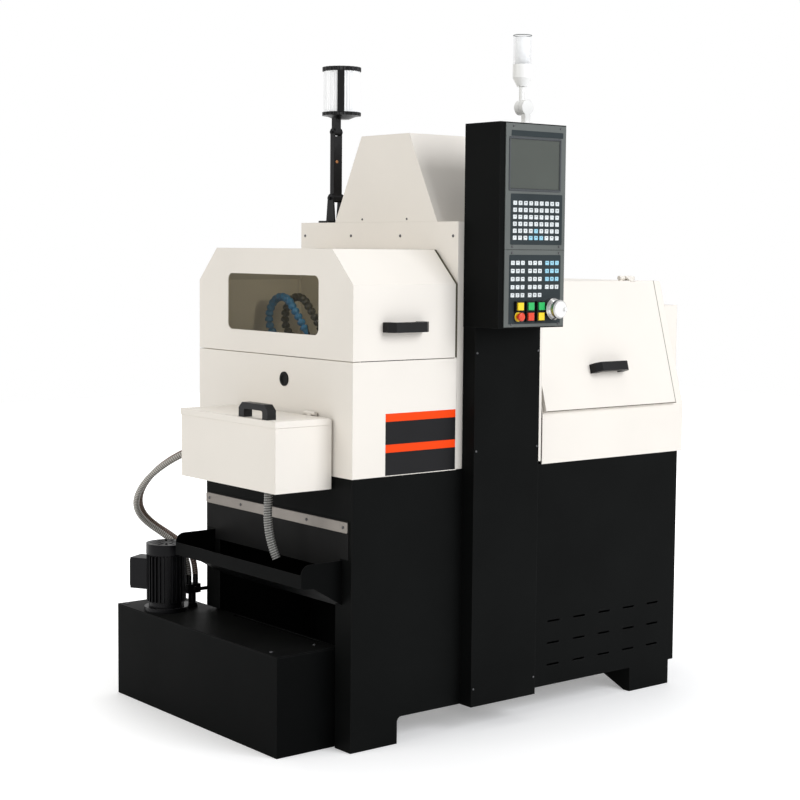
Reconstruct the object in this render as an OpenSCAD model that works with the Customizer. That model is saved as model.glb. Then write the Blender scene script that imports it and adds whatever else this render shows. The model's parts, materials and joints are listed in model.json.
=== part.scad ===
// Small sliding-head turning lathe: a black sheet-metal stand, a white work enclosure under a lift-up
// hood, a headstock cabinet with a sloped lift-up door, a control box on a pillar, and a coolant tank
// with its pump at the end. X runs along the spindle, Y from the operator to the back, Z up.

/* [Stand] */
// Length of the black stand
base_len = 1210; // [1150:5:1300]
// Depth of the black stand
base_d = 687; // [660:1:720]
// Height of the stand under the work enclosure
stand_h = 708; // [690:1:730]
// Height of the stand under the headstock cabinet
cabinet_z = 700; // [685:1:706]
// Height of the stand's lower edge above the floor
skirt_z = 71; // [60:1:90]
// Width of the stand's front foot
foot_w = 152; // [120:2:180]
// Thickness of the folded sheets
sheet = 3; // [2:0.5:4]
// Width of the corner post beside the tank
post_w = 68; // [50:1:74]

/* [Work enclosure] */
// Depth of the work enclosure and its hood
enc_d = 724; // [700:2:740]
// Length of the hood along the spindle
hood_len = 343; // [320:1:360]
// Height of the hood's lower edge
hood_z = 1007; // [980:1:1030]
// Height of the hood
hood_h = 283; // [260:1:300]
// Chamfer along the hood's front and back top edges
hood_ch = 90; // [60:1:110]
// Width of the hood's window
win_w = 428; // [340:2:460]
// Height of the hood's window
win_h = 154; // [120:2:160]
// Corner radius of the window
win_r = 18; // [8:1:30]

/* [Upper housing] */
// Height of the housing's roof
roof_z = 1365; // [1340:1:1400]
// Length of the housing behind the hood
housing_len = 309; // [300:1:312]
// Height of the slide cover on the roof
cover_h = 240; // [210:1:280]
// Length of the slide cover
cover_len = 255; // [200:1:300]
// Width of the slide cover at its top
cover_top = 213; // [180:1:240]
// Width of the slide cover at its foot
cover_foot = 459; // [420:1:480]

/* [Headstock cabinet] */
// Height of the cabinet's roof
cab_top = 1202; // [1185:1:1230]
// Height where the front starts to slope
slope_z = 839; // [820:1:860]
// How far the sloped front leans back
slope_d = 102; // [80:1:130]
// Overhang of the white cabinet past the stand
cab_over = 20; // [10:1:30]
// Length of the sloped door
door_len = 526; // [480:1:530]
// Depth of the bar inlet cover at the end
inlet_d = 55; // [40:1:80]

/* [Control] */
// Width of the control box and its pillar
ctrl_w = 233; // [220:1:240]
// Height of the control box's top
ctrl_top = 1620; // [1580:1:1680]
// Height of the control box
ctrl_h = 532; // [525:1:545]
// How far the control box stands out in front
ctrl_out = 139; // [125:1:160]
// How far the pillar stands out in front
pillar_out = 48; // [40:1:60]
// Diameter of the handwheel
wheel_dia = 58; // [50:1:60]

/* [Coolant] */
// How far the tank stands out from the end
tank_out = 175; // [160:1:178]
// Height of the tank with its lid
tank_h = 262; // [240:1:275]
// Where the tank starts behind the front
tank_y0 = 78; // [76:1:90]
// Length of the tank
tank_len = 811; // [790:1:850]
// Diameter of the pump motor over its fins
pump_dia = 112; // [100:1:116]
// Diameter of the two supply hoses
hose_dia = 18; // [14:1:20]
// Diameter of the drain hose
drain_dia = 24; // [20:1:26]

/* [Parts box] */
// How far the parts box stands out from the end
box_out = 180; // [178:1:200]
// Length of the parts box
box_len = 447; // [400:1:460]
// Height of the parts box without its lid
box_h = 180; // [150:1:190]

/* [Spindle and tools] */
// Height of the spindle's centre above the floor
spin_z = 1085; // [1080:1:1090]
// Bar diameter that passes through the guide bush
bar_dia = 20; // [12:0.5:24]
// Stroke of the headstock
head_travel = 120; // [60:5:130]
// Diameter of the spindle's bearing seat
spin_dia = 90; // [80:1:96]
// Number of turning tools on the gang block
tool_count = 5; // [3:1:5]
// Square size of a tool shank
shank = 12; // [8:1:14]
// Spacing of the tools
tool_pitch = 26; // [22:1:27]

/* [Hidden] */
$fn = 48;

// Colours
paint_white = [0.90, 0.88, 0.84];
paint_black = [0.08, 0.085, 0.085];
steel = [0.62, 0.62, 0.60];
dark_steel = [0.35, 0.36, 0.36];
plastic_black = [0.05, 0.05, 0.055];
glass_tint = [0.75, 0.80, 0.82, 0.35];

// Running fit of shafts and pins, and gap between sliding or swinging pieces
fit = 0.05;
gap = 0.5;
// Play beside a sheet-metal seam
seam = 2;

// Main places along X
bulk_x = hood_len + seam + 1;
housing_x1 = bulk_x + housing_len;
cab_x0 = housing_x1 + 3;
cab_x1 = base_len + cab_over;
x_max = cab_x1 + inlet_d;
ctrl_x0 = bulk_x + 20;
ctrl_x1 = ctrl_x0 + ctrl_w;
tank_x1 = 22;
x_min = -box_out - 2;

// Main places along Y
wheel_out = 46;
y_min = -ctrl_out - wheel_out;
y_max = tank_y0 + tank_len;
housing_d = enc_d - 8;
spin_y = 420;
cover_y = 89;

// Hood hinge, door hinge and lid hinge lines
hinge_y = enc_d + 8;
hood_top = hood_z + hood_h;
slope_a = atan(slope_d / (cab_top - slope_z));
slope_l = norm([slope_d, cab_top - slope_z]);
lid_z = stand_h - 32 + box_h;
box_y0 = 80;

// The finished part stands with its middle over the origin
module at_origin() translate([-(x_min + x_max) / 2, -(y_min + y_max) / 2, 0]) children();

// A block between two corners
module slab(a, b) translate(a) cube(b - a);
// Round bars along the three axes, from their start point
module bar_x(p, r, l) translate(p) rotate([0, 90, 0]) cylinder(r = r, h = l);
module bar_y(p, r, l) translate(p) rotate([-90, 0, 0]) cylinder(r = r, h = l);
module bar_z(p, r, l) translate(p) cylinder(r = r, h = l);
// A rectangle with round corners, centred
module round_rect(w, h, r) {
    square([w - 2 * r, h], center = true);
    square([w, h - 2 * r], center = true);
    for (i = [-1, 1], j = [-1, 1]) translate([i * (w / 2 - r), j * (h / 2 - r)]) circle(r);
}
// Turns an outline drawn as (Y, Z) into a plate along X
module plate_x(x0, x1) translate([x0, 0, 0]) rotate([90, 0, 90]) linear_extrude(x1 - x0) children();
// Turns an outline drawn as (X, Z) into a plate along Y
module plate_y(y0, y1) translate([0, y1, 0]) rotate([90, 0, 0]) linear_extrude(y1 - y0) children();
// A low domed screw head on a face, pointing along -X, -Y or +Z
module screw_head(p, rot, r = 4) translate(p) rotate(rot)
    rotate_extrude() polygon([[0, 0], [r, 0], [r, 1], [r * 0.7, 2.2], [r * 0.35, 2.6], [r * 0.35, 1.4],
        [0, 1.4]]);
// Moulded bridge handle: two feet and a bar, drawn along X on the plane Z = 0
handle_l = 132;
handle_w = 26;
handle_h = 38;
handle_foot = 24;
handle_gap = 22;
module bridge_handle() {
    translate([0, handle_w / 2, 0]) rotate([90, 0, 0]) linear_extrude(handle_w) difference() {
        polygon([[-handle_l / 2, 0], [handle_l / 2, 0], [handle_l / 2, handle_h - 14],
            [handle_l / 2 - 16, handle_h], [-handle_l / 2 + 16, handle_h], [-handle_l / 2, handle_h - 14]]);
        translate([0, handle_gap / 2]) round_rect(handle_l - 2 * handle_foot, handle_gap, 5);
        translate([-handle_l / 2 + handle_foot, -1]) square([handle_l - 2 * handle_foot, handle_gap / 2
            + 1]);
    }
}
// Butt hinge along X at a point: the fixed half has the pin, the swinging half the middle barrel
pin_r = 4;
barrel_r = 7;
knuckle = 20;
module hinge_pin(p) {
    bar_x(p - [1.5 * knuckle, 0, 0], pin_r, 3 * knuckle);
    for (s = [-1.5, 0.5]) bar_x(p + [s * knuckle, 0, 0], barrel_r, knuckle - (s < 0 ? gap : 0));
}
module hinge_tube(p) difference() {
    bar_x(p - [knuckle / 2, 0, 0], barrel_r, knuckle - gap);
    bar_x(p - [knuckle, 0, 0], pin_r + fit, 2 * knuckle);
}

// Stand: folded sheets with a post beside the tank, welded feet and louvres for the electrics
tray_out = 128;
tray_y0 = 40;
tray_len = 605;
tray_z = 496;
apron_z = 540;
right_foot = [1025, 1190];
chute_low = 490;
chute_high = 640;
slot = [48, 6];
slot_x0 = 712;
slot_dx = 101;
slot_dz = 62;
slot_z0 = 129;
module foot_gusset(x) plate_x(x, x + sheet)
    polygon([[0, 0], [24, 0], [205, skirt_z + 2], [0, skirt_z + 2]]);
module right_foot_bracket() {
    for (x = [right_foot[0], right_foot[1] - sheet]) foot_gusset(x);
    slab([right_foot[0], 0, 0], [right_foot[1], sheet, skirt_z + 2]);
    slab([right_foot[0], 0, 0], [right_foot[1], 24, 4]);
}
module base_cabinet() color(paint_black) at_origin() {
    difference() {
        union() {
            plate_y(0, sheet) difference() {
                union() {
                    square([ctrl_x0, stand_h]);
                    translate([ctrl_x0 - 1, 0]) square([base_len - ctrl_x0 + 1, cabinet_z]);
                }
                translate([foot_w, -1]) square([base_len, skirt_z - 13]);
                translate([foot_w + 14, -1]) square([base_len, skirt_z + 1]);
                translate([foot_w + 14, skirt_z - 14]) circle(14);
            }
            plate_y(base_d - sheet, base_d) difference() {
                union() {
                    translate([0, skirt_z]) square([ctrl_x0, stand_h - skirt_z]);
                    translate([ctrl_x0 - 1, skirt_z]) square([base_len - ctrl_x0 + 1, cabinet_z - skirt_z]);
                    translate([tank_x1 + 18, 0]) square([foot_w, skirt_z + 1]);
                }
                translate([-1, -1]) square([tank_x1 + 11, tank_h + 9]);
            }
            slab([0, 0, 0], [sheet, post_w, stand_h]);
            slab([0, base_d - post_w, tank_h + 8], [sheet, base_d, stand_h]);
            slab([0, 0, apron_z], [sheet, base_d, stand_h]);
            slab([base_len - sheet, 0, skirt_z], [base_len, base_d, cabinet_z]);
            slab([ctrl_x0, 0, skirt_z], [ctrl_x0 + sheet, base_d, cabinet_z]);
            slab([ctrl_x0, 0, cabinet_z - sheet], [base_len, base_d, cabinet_z]);
            slab([ctrl_x0, 0, skirt_z], [base_len, 40, skirt_z + sheet]);
            slab([ctrl_x0, 40 - sheet, skirt_z - 9], [right_foot[0], 40, skirt_z + 1]);
            slab([0, 0, 0], [foot_w, 40, 4]);
            slab([tank_x1 + 18, base_d - 40, 0], [tank_x1 + 18 + foot_w, base_d, 4]);
            right_foot_bracket();
            translate([0, base_d, 0]) mirror([0, 1, 0]) right_foot_bracket();
            plate_y(1, base_d - 1)
                polygon([[8, chute_low], [ctrl_x0 + 1, chute_high], [ctrl_x0 + 1, chute_high + 3], [8,
                    chute_low + 3]]);
        }
        for (i = [0:4], j = [0:2])
            translate([slot_x0 + i * slot_dx, -1, slot_z0 + j * slot_dz]) rotate([-90, 0, 0])
                linear_extrude(sheet + 2) round_rect(slot[0], slot[1], slot[1] / 2 - 0.01);
    }
}
// Apron over the chip opening, and the strip that clamps it
module apron_sheet() color([0.10, 0.10, 0.10]) at_origin() plate_x(-2, 0)
    polygon([[12, tray_z + 4], [46, tray_z + 4], [46, 470], [tray_y0 + tray_len - 6, 470],
        [tray_y0 + tray_len - 6, tray_z + 4], [base_d - 4, tray_z + 4], [base_d - 4, 600], [12, 600]]);
strip_z = 583;
strip_screws = [31, 191, 505, 665];
module apron_strip() color([0.55, 0.52, 0.49]) at_origin() plate_x(-5, -2)
    translate([(12 + base_d - 4) / 2, strip_z]) round_rect(base_d - 18, 28, 4);
// Chip tray: outer lip, flat, then a slope back under the machine
function arc(c, r, a0, a1, n) = [for (i = [0:n]) c + r * [cos(a0 + (a1 - a0) * i / n), sin(a0 + (a1 -
    a0) * i / n)]];
tray_lip = 471;
tray_floor = [[-tray_out, 436], [-88, 432], [0, 380]];
module tray_run(x1) {
    z1 = 380 - 0.59 * x1;
    polygon([[-tray_out, tray_lip], [-tray_out, 436], [-88, 432], [x1, z1], [x1, z1 + 2.3],
        [-87.5, 434.2], [-tray_out + 2, 438], [-tray_out + 2, tray_lip]]);
}
module tray_side() polygon(concat(tray_floor, [[0, tray_z]],
    arc([-tray_out + 25, tray_lip], 25, 90, 180, 8)));
module chip_tray() color(paint_black) at_origin() {
    plate_y(tray_y0, tray_y0 + tray_len) tray_run(0);
    plate_y(post_w + 4, base_d - post_w - 4) tray_run(14);
    plate_y(tray_y0, tray_y0 + 2) tray_side();
    plate_y(tray_y0 + tray_len - 2, tray_y0 + tray_len) tray_side();
}

// Coolant tank with a bolted lid that carries the pump
lid_t = 4;
pump_at = [-105, 735];
outlet_at = [-23, 730];
barb_dx = 11;
barb_z = 354;
module coolant_tank() color(paint_black) at_origin() difference() {
    slab([-tank_out, tank_y0, 0], [tank_x1, y_max, tank_h - lid_t]);
    slab([-tank_out + sheet, tank_y0 + sheet, sheet], [tank_x1 - sheet, y_max - sheet, tank_h]);
}
lid_screws = [for (x = [-tank_out + 20, -20], y = [tank_y0 + 54, y_max - 20]) [x, y]];
module tank_lid() color(paint_black) at_origin() difference() {
    slab([-tank_out, tank_y0, tank_h - lid_t], [tank_x1, y_max, tank_h]);
    bar_z([pump_at[0], pump_at[1], tank_h - lid_t - 1], 48, lid_t + 2);
    slab([4, 150, tank_h - lid_t - 1], [17, 560, tank_h + 1]);
}
// Immersion pump: flange and casing, outlet with a shut-off valve and two hose barbs
module pump_body() color(dark_steel) at_origin() {
    bar_z([pump_at[0], pump_at[1], tank_h], 62, 12);
    bar_z([pump_at[0], pump_at[1], 60], 44, tank_h - 59);
    slab([pump_at[0], outlet_at[1] - 16, tank_h], [outlet_at[0], outlet_at[1] + 16, tank_h + 12]);
    bar_z([outlet_at[0], outlet_at[1], tank_h], 16, 12);
    bar_z([outlet_at[0], outlet_at[1], tank_h + 11], 11, 30);
    slab([outlet_at[0] - 21, outlet_at[1] - 13, tank_h + 40], [outlet_at[0] + 21, outlet_at[1] + 13,
        tank_h + 66]);
    for (s = [-1, 1]) bar_z([outlet_at[0] + s * barb_dx, outlet_at[1], tank_h + 65], hose_dia / 2 - 1,
        barb_z - tank_h - 65);
    bar_y([outlet_at[0], outlet_at[1] - 26, tank_h + 53], 4, 14);
    bar_y([outlet_at[0], outlet_at[1] - 28, tank_h + 53], 6, 2);
}
// Motor: finned frame, fan cowl with slots, and a terminal box on its side
motor_z = [tank_h + 12, 425, 455];
fin_count = 28;
box_dir = 120;
module pump_motor() color(plastic_black) at_origin() translate([pump_at[0], pump_at[1], 0]) {
    difference() {
        union() {
            bar_z([0, 0, motor_z[0]], pump_dia / 2 - 6, 14);
            bar_z([0, 0, motor_z[0] + 13], pump_dia / 2 - 8, motor_z[1] - motor_z[0] - 12);
            for (i = [0:fin_count - 1]) rotate(i * 360 / fin_count)
                translate([pump_dia / 2 - 10, -1.25, motor_z[0] + 16]) cube([10, 2.5, motor_z[1] -
                    motor_z[0] - 20]);
            bar_z([0, 0, motor_z[1]], pump_dia / 2 + 1, motor_z[2] - motor_z[1]);
            rotate(box_dir) slab([pump_dia / 2 - 14, -30, 322], [pump_dia / 2 + 44, 30, 410]);
            rotate(box_dir) slab([pump_dia / 2 + 43, -26, 328], [pump_dia / 2 + 48, 26, 404]);
        }
        for (i = [0:11]) rotate(i * 30)
            translate([16, -3, motor_z[2] - 4]) cube([30, 6, 5]);
    }
}
module valve_lever() color([0.75, 0.12, 0.10]) at_origin() translate([outlet_at[0], outlet_at[1] -
    25.5, tank_h + 53])
    rotate([-90, 0, 0]) difference() {
        union() {
            cylinder(r = 9, h = 5);
            translate([0, -5, 1]) cube([40, 10, 3]);
        }
        translate([0, 0, -1]) cylinder(r = 4 + fit, h = 8);
    }

// Hoses: a tube swept along points chosen by hand, rounded off by a spline
function spline(p, n) = let (last = len(p) - 1, q = concat([2 * p[0] - p[1]], p, [2 * p[last] - p[last - 1]]))
    concat([for (i = [0:last - 1], k = [0:n - 1]) let (t = k / n, s = 1 - t)
        (s * s * s * q[i] + (3 * t * t * t - 6 * t * t + 4) * q[i + 1] + (3 * s * s * s - 6 * s * s + 4)
            * q[i + 2] + t * t * t * q[i + 3]) / 6], [p[last]]);
function unit(v) = v / norm(v);
function tangent(p, i) = unit(p[min(i + 1, len(p) - 1)] - p[max(i - 1, 0)]);
module tube(p, r, up, ends, sides = 10) {
    last = len(p) - 1;
    rings = [for (i = [0:last]) let (t = i == 0 ? ends[0] : i == last ? ends[1] : tangent(p, i))
        let (u = unit(cross(t, up)), v = cross(t, u))
        for (k = [0:sides - 1]) p[i] + r * (cos(k * 360 / sides) * u + sin(k * 360 / sides) * v)];
    n = len(p);
    polyhedron(rings, concat([[for (k = [0:sides - 1]) k]], [[for (k = [0:sides - 1]) n * sides - 1 - k]],
        [for (i = [0:n - 2], k = [0:sides - 1]) let (a = i * sides + k, b = i * sides + (k + 1) % sides)
            each [[a, a + sides, b], [b, a + sides, b + sides]]]));
}
coolant_route = [[-34, 730, 354], [-35, 737, 404], [-48, 774, 439], [-73, 808, 467], [-111, 828, 496],
    [-148, 822, 531], [-169, 799, 572], [-169, 768, 613], [-155, 737, 650], [-130, 706, 681],
    [-98, 678, 707], [-56, 654, 727], [-6, 650, 730]];
return_route = [[-12, 730, 354], [-13, 737, 404], [-24, 776, 437], [-44, 813, 462], [-77, 841, 488],
    [-115, 846, 522], [-140, 829, 563], [-147, 801, 604], [-139, 769, 642], [-121, 737, 675],
    [-93, 707, 703], [-55, 681, 726], [-6, 676, 730]];
drain_route = [[-95, 235, 664], [-95, 235, 640], [-97, 236, 600], [-96, 234, 560], [-91, 226, 520],
    [-84, 214, 484]];
module coolant_hose() color([0.62, 0.60, 0.56]) at_origin()
    tube(spline(coolant_route, 2), hose_dia / 2, [1, 1, 0], [[0, 0, 1], [1, 0, 0]]);
module return_hose() color([0.45, 0.36, 0.31]) at_origin()
    tube(spline(return_route, 2), hose_dia / 2, [1, 1, 0], [[0, 0, 1], [1, 0, 0]]);
module drain_hose() color([0.60, 0.60, 0.58]) at_origin()
    tube(spline(drain_route, 2), drain_dia / 2, [0, 1, 0],
    [[0, 0, -1], unit([7, -12, -36])]);

// Parts box with a hinged lid and a drain spout
lid_rim = 14;
lid_hinge_x = -9;
lid_pin = 3;
lid_barrel = 5;
lid_hinge_z = lid_z + 4 + lid_barrel;
lid_hinges = [box_y0 + 90, box_y0 + box_len - 90];
module parts_box() color(paint_white) at_origin() {
    difference() {
        slab([-box_out, box_y0, lid_z - box_h], [-6, box_y0 + box_len, lid_z]);
        slab([-box_out + 2, box_y0 + 2, lid_z - box_h + 2], [-8, box_y0 + box_len - 2, lid_z + 1]);
        slab([-9, box_y0 + 50, lid_z - box_h + 50], [-5, box_y0 + box_len - 50, lid_z - 26]);
        bar_z([drain_route[0][0], drain_route[0][1], lid_z - box_h - 1], 8, 4);
    }
    for (y = [box_y0 + 14, box_y0 + box_len - 38]) slab([-7, y, lid_z - box_h + 20], [0, y + 24, lid_z
        - 20]);
    difference() {
        bar_z([drain_route[0][0], drain_route[0][1], drain_route[0][2]], 15, lid_z - box_h -
            drain_route[0][2] + 1);
        bar_z([drain_route[0][0], drain_route[0][1], drain_route[0][2] - 1], 8, 20);
    }
    for (y = lid_hinges) {
        bar_y([lid_hinge_x, y - 24, lid_hinge_z], lid_pin, 48);
        for (s = [-24, 9]) {
            bar_y([lid_hinge_x, y + s, lid_hinge_z], lid_barrel, 15);
            slab([lid_hinge_x + 1, y + s, lid_z - 12], [lid_hinge_x + 3, y + s + 15, lid_hinge_z]);
        }
    }
}
module parts_box_lid() color(paint_white) at_origin() difference() {
    union() {
        difference() {
            slab([-box_out - 2, box_y0 - 2.5, lid_z - lid_rim], [-14, box_y0 + box_len + 2.5, lid_z + 3]);
            slab([-box_out - gap, box_y0 - gap, lid_z - lid_rim - 1], [0, box_y0 + box_len + gap, lid_z
                + gap]);
        }
        for (y = lid_hinges) {
            bar_y([lid_hinge_x, y - 8.5, lid_hinge_z], lid_barrel, 17);
            slab([-20, y - 8.5, lid_z + 0.6], [lid_hinge_x - lid_pin, y + 8.5, lid_z + 3]);
            slab([-15, y - 8.5, lid_z + 1], [lid_hinge_x - lid_pin, y + 8.5, lid_hinge_z]);
        }
    }
    for (y = lid_hinges) bar_y([lid_hinge_x, y - 30, lid_hinge_z], lid_pin + fit, 60);
}
module lid_handle() color(plastic_black) at_origin()
    translate([-box_out + handle_w / 2 + 4, box_y0 + 107, lid_z + 3]) rotate(90) bridge_handle();

// Work enclosure: the fixed lower half under the hood, with the fixed hinge halves at its back
enc_top = hood_z - seam;
hood_hinges = [80, hood_len - 80];
port_at = [301, 945];
port_r = 15;
module work_enclosure() color(paint_white) at_origin() {
    difference() {
        union() {
            slab([0, 0, stand_h], [hood_len + 1, sheet, enc_top]);
            slab([0, 0, stand_h], [sheet, enc_d, enc_top]);
            slab([0, enc_d - sheet, stand_h], [hood_len + 1, enc_d, enc_top]);
            slab([0, 0, stand_h], [hood_len + 1, 30, stand_h + sheet]);
            slab([0, 0, stand_h], [20, enc_d, stand_h + sheet]);
            slab([0, base_d - 30, stand_h], [hood_len + 1, enc_d, stand_h + sheet]);
        }
        bar_x([-1, port_at[0], port_at[1]], port_r, sheet + 2);
        slab([-1, box_y0 + 50, lid_z - box_h + 50], [sheet + 1, box_y0 + box_len - 50, lid_z - 26]);
    }
    for (x = hood_hinges) {
        hinge_pin([x, hinge_y, hood_z]);
        slab([x - 1.5 * knuckle, enc_d, hood_z - 50], [x + 1.5 * knuckle, enc_d + 3, hood_z - barrel_r
            - 2]);
        for (s = [-1.5, 0.5])
            slab([x + s * knuckle, enc_d, hood_z - 20], [x + (s + 1) * knuckle - (s < 0 ? gap : 0),
                enc_d + 3, hood_z]);
    }
}
// Rubber rings at the cable port and at the two hose entries
module hose_grommets() color([0.06, 0.06, 0.06]) at_origin() {
    difference() {
        union() {
            bar_x([-3, port_at[0], port_at[1]], port_r + 4, 3);
            bar_x([-1, port_at[0], port_at[1]], port_r, sheet + 1);
        }
        bar_x([-4, port_at[0], port_at[1]], port_r - 4, sheet + 6);
    }
    for (p = [coolant_route[12], return_route[12]]) bar_x(p, hose_dia / 2 + 2.5, 6);
}

// Hood: one folded shell, closed at the window end and open towards the bulkhead
function hood_outline(i) = let (k = i * (sqrt(2) - 1)) [[i, 0], [i, hood_h - hood_ch - k],
    [hood_ch + k, hood_h - i], [enc_d - hood_ch - k, hood_h - i], [enc_d - i, hood_h - hood_ch - k],
        [enc_d - i, 0]];
win_z = hood_z + 137;
module hood_shell() color(paint_white) at_origin() {
    difference() {
        translate([0, 0, hood_z]) plate_x(0, hood_len) polygon(hood_outline(0));
        translate([0, 0, hood_z - 0.01]) plate_x(sheet, hood_len + 1) polygon(hood_outline(sheet));
        plate_x(-1, sheet + 1) translate([enc_d / 2, win_z]) round_rect(win_w, win_h, win_r);
    }
    for (x = hood_hinges) {
        hinge_tube([x, hinge_y, hood_z]);
        slab([x - 1.5 * knuckle, enc_d, hood_z + barrel_r + 2], [x + 1.5 * knuckle, enc_d + 3, hood_z +
            50]);
        difference() {
            slab([x - knuckle / 2, enc_d, hood_z + 1], [x + knuckle / 2 - gap, enc_d + 3, hood_z + 20]);
            bar_x([x - knuckle, hinge_y, hood_z], pin_r + fit, 2 * knuckle);
        }
    }
}
module hood_window() color(glass_tint) at_origin() plate_x(sheet, sheet + 4)
    translate([enc_d / 2, win_z]) round_rect(win_w + 24, win_h + 24, win_r + 6);
hood_handle_at = [161, hood_z + 85];
module hood_handle() color(plastic_black) at_origin()
    translate([hood_handle_at[0], 0, hood_handle_at[1]]) rotate([90, 0, 0]) bridge_handle();

// Upper housing: the bulkhead that carries the guide bush and the slides, with its roof
slide_y = 265;
slot_half = 20;
screw_x = bulk_x + 44;
house_y0 = 2;
end_lap = 10;
module bulkhead_housing() color(paint_white) at_origin() {
    difference() {
        slab([bulk_x, house_y0, stand_h + 1], [housing_x1, housing_d, roof_z]);
        slab([bulk_x + sheet, house_y0 + sheet, stand_h], [housing_x1 + 1, housing_d - sheet, roof_z - sheet]);
        bar_x([bulk_x - 1, spin_y, spin_z], 36, sheet + 2);
        slab([bulk_x - 1, slide_y - slot_half, spin_z - 150], [bulk_x + sheet + 1, slide_y + slot_half,
            spin_z + 150]);
        bar_z([screw_x, slide_y, roof_z - sheet - 1], 14, sheet + 2);
    }
    // End wall, open where the headstock cabinet joins on
    plate_x(housing_x1 - sheet, housing_x1) difference() {
        translate([house_y0, stand_h + 1]) square([housing_d - house_y0, roof_z - stand_h - 1]);
        polygon(cab_outline(end_lap));
    }
}
// Slide cover: a folded hip over the servo on the roof
cover_side = (cover_foot - cover_top) / 2;
function cover_outline(i) = let (k = i * norm([cover_side, cover_h]) / cover_h, s = cover_side / cover_h)
    [[k, 0], [k + s * (cover_h - i), cover_h - i], [cover_foot - k - s * (cover_h - i), cover_h - i],
        [cover_foot - k, 0]];
module slide_cover() color(paint_white) at_origin() translate([0, cover_y, roof_z]) difference() {
    plate_x(bulk_x, bulk_x + cover_len) polygon(cover_outline(0));
    translate([0, 0, -0.01]) plate_x(bulk_x + 2, bulk_x + cover_len - 2) polygon(cover_outline(2));
}
// Servo motors of the tool slide and of the headstock feed
servo_w = 76;
module servo(l) {
    difference() {
        union() {
            translate([-servo_w / 2, -servo_w / 2, 0]) cube([servo_w, servo_w, 12]);
            translate([0, 0, 12]) linear_extrude(l) round_rect(servo_w - 6, servo_w - 6, 8);
            translate([-servo_w / 2 + 8, -servo_w / 2 + 8, 12 + l]) cube([servo_w - 16, servo_w - 16, 26]);
        }
        translate([0, 0, -1]) cylinder(r = 6 + fit, h = 22);
    }
}
feed_z = cabinet_z + 108;
feed_x0 = 440;
module servo_motors() color(plastic_black) at_origin() {
    translate([screw_x, slide_y, roof_z]) servo(110);
    translate([feed_x0, spin_y, feed_z]) rotate([0, -90, 0]) servo(50);
}
// Screws that show on the covers, the strip, the tank lid and the pillar
module cover_screws() color(dark_steel) at_origin() {
    for (i = [0:3], y = 23 + i * (housing_d - 43) / 3) screw_head([bulk_x, y, roof_z - 38], [0, -90, 0]);
    for (y = [cover_y + 130, cover_y + 330]) screw_head([bulk_x, y, roof_z + 8], [0, -90, 0], 3);
    for (y = strip_screws) screw_head([-5, y, strip_z], [0, -90, 0]);
    for (p = lid_screws) screw_head([p[0], p[1], tank_h], [0, 0, 0], 5);
    for (z = [120, 760, 1020], x = [ctrl_x0 + 7, ctrl_x1 - 7]) screw_head([x, -pillar_out, z], [90, 0,
        0], 3);
    for (z = [ctrl_top - 10, key_seam + 8, key_seam - 8, ctrl_top - ctrl_h + 10], x = [panel_x0 + 26,
        panel_x1 - 20])
        screw_head([x, -ctrl_out, z], [90, 0, 0], 3);
}

// Headstock cabinet: folded shell with a sloped front under the door
cab_d = 700;
function cab_outline(i) = [[i, cabinet_z], [i, slope_z - i * sin(slope_a) + i * (1 - cos(slope_a)) /
    tan(slope_a)],
    [i * cos(slope_a) + (cab_top - i - slope_z + i * sin(slope_a)) * tan(slope_a), cab_top - i],
    [cab_d - i, cab_top - i], [cab_d - i, cabinet_z]];
door_x1 = cab_x1 - 43;
door_x0 = door_x1 - door_len;
door_hinge = [slope_d + 12, cab_top + barrel_r + 2];
door_hinges = [door_x0 + 90, door_x1 - 90];
module on_slope() translate([0, 0, slope_z]) rotate([90 - slope_a, 0, 0]) children();
module headstock_cabinet() color(paint_white) at_origin() {
    difference() {
        plate_x(cab_x0, cab_x1) polygon(cab_outline(0));
        translate([0, 0, -0.01]) plate_x(cab_x0 - 1, cab_x1 - sheet) polygon(cab_outline(sheet));
        on_slope() slab([door_x0 + 24, 20, -20], [door_x1 - 24, slope_l - 24, 10]);
        bar_x([cab_x1 - sheet - 1, spin_y, spin_z], 30, sheet + 2);
    }
    slab([base_len - 10, 0, cabinet_z], [cab_x1, cab_d, cabinet_z + sheet]);
    for (x = door_hinges) {
        hinge_pin([x, door_hinge[0], door_hinge[1]]);
        for (s = [-1.5, 0.5]) slab([x + s * knuckle, door_hinge[0] - 3, cab_top - 1],
            [x + (s + 1) * knuckle - (s < 0 ? gap : 0), door_hinge[0] + 3, door_hinge[1]]);
    }
}
// Sloped door: a shallow pan with folded edges, hung from two hinges above it
door_t = 14;
module cabinet_door() color(paint_white) at_origin() {
    on_slope() difference() {
        slab([door_x0, 3, gap], [door_x1, slope_l - 2, door_t]);
        slab([door_x0 + 2, 5, 0], [door_x1 - 2, slope_l - 4, door_t - 2]);
    }
    for (x = door_hinges) {
        hinge_tube([x, door_hinge[0], door_hinge[1]]);
        difference() {
            plate_x(x - knuckle / 2, x + knuckle / 2 - gap) polygon([[slope_d - 18, cab_top + 1],
                [slope_d - 12, cab_top - 3], [slope_d - 8, cab_top + 3], door_hinge + [-2, 0],
                    door_hinge + [-6, 6]]);
            bar_x([x - knuckle, door_hinge[0], door_hinge[1]], pin_r + fit, 2 * knuckle);
        }
    }
}
module door_handle() color(plastic_black) at_origin()
    on_slope() translate([door_x0 + 262, 117, door_t]) bridge_handle();
inlet_y = [80, spin_y + 160];
inlet_z = [cabinet_z + 160, spin_z + 45];
inlet_r = 20;
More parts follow.
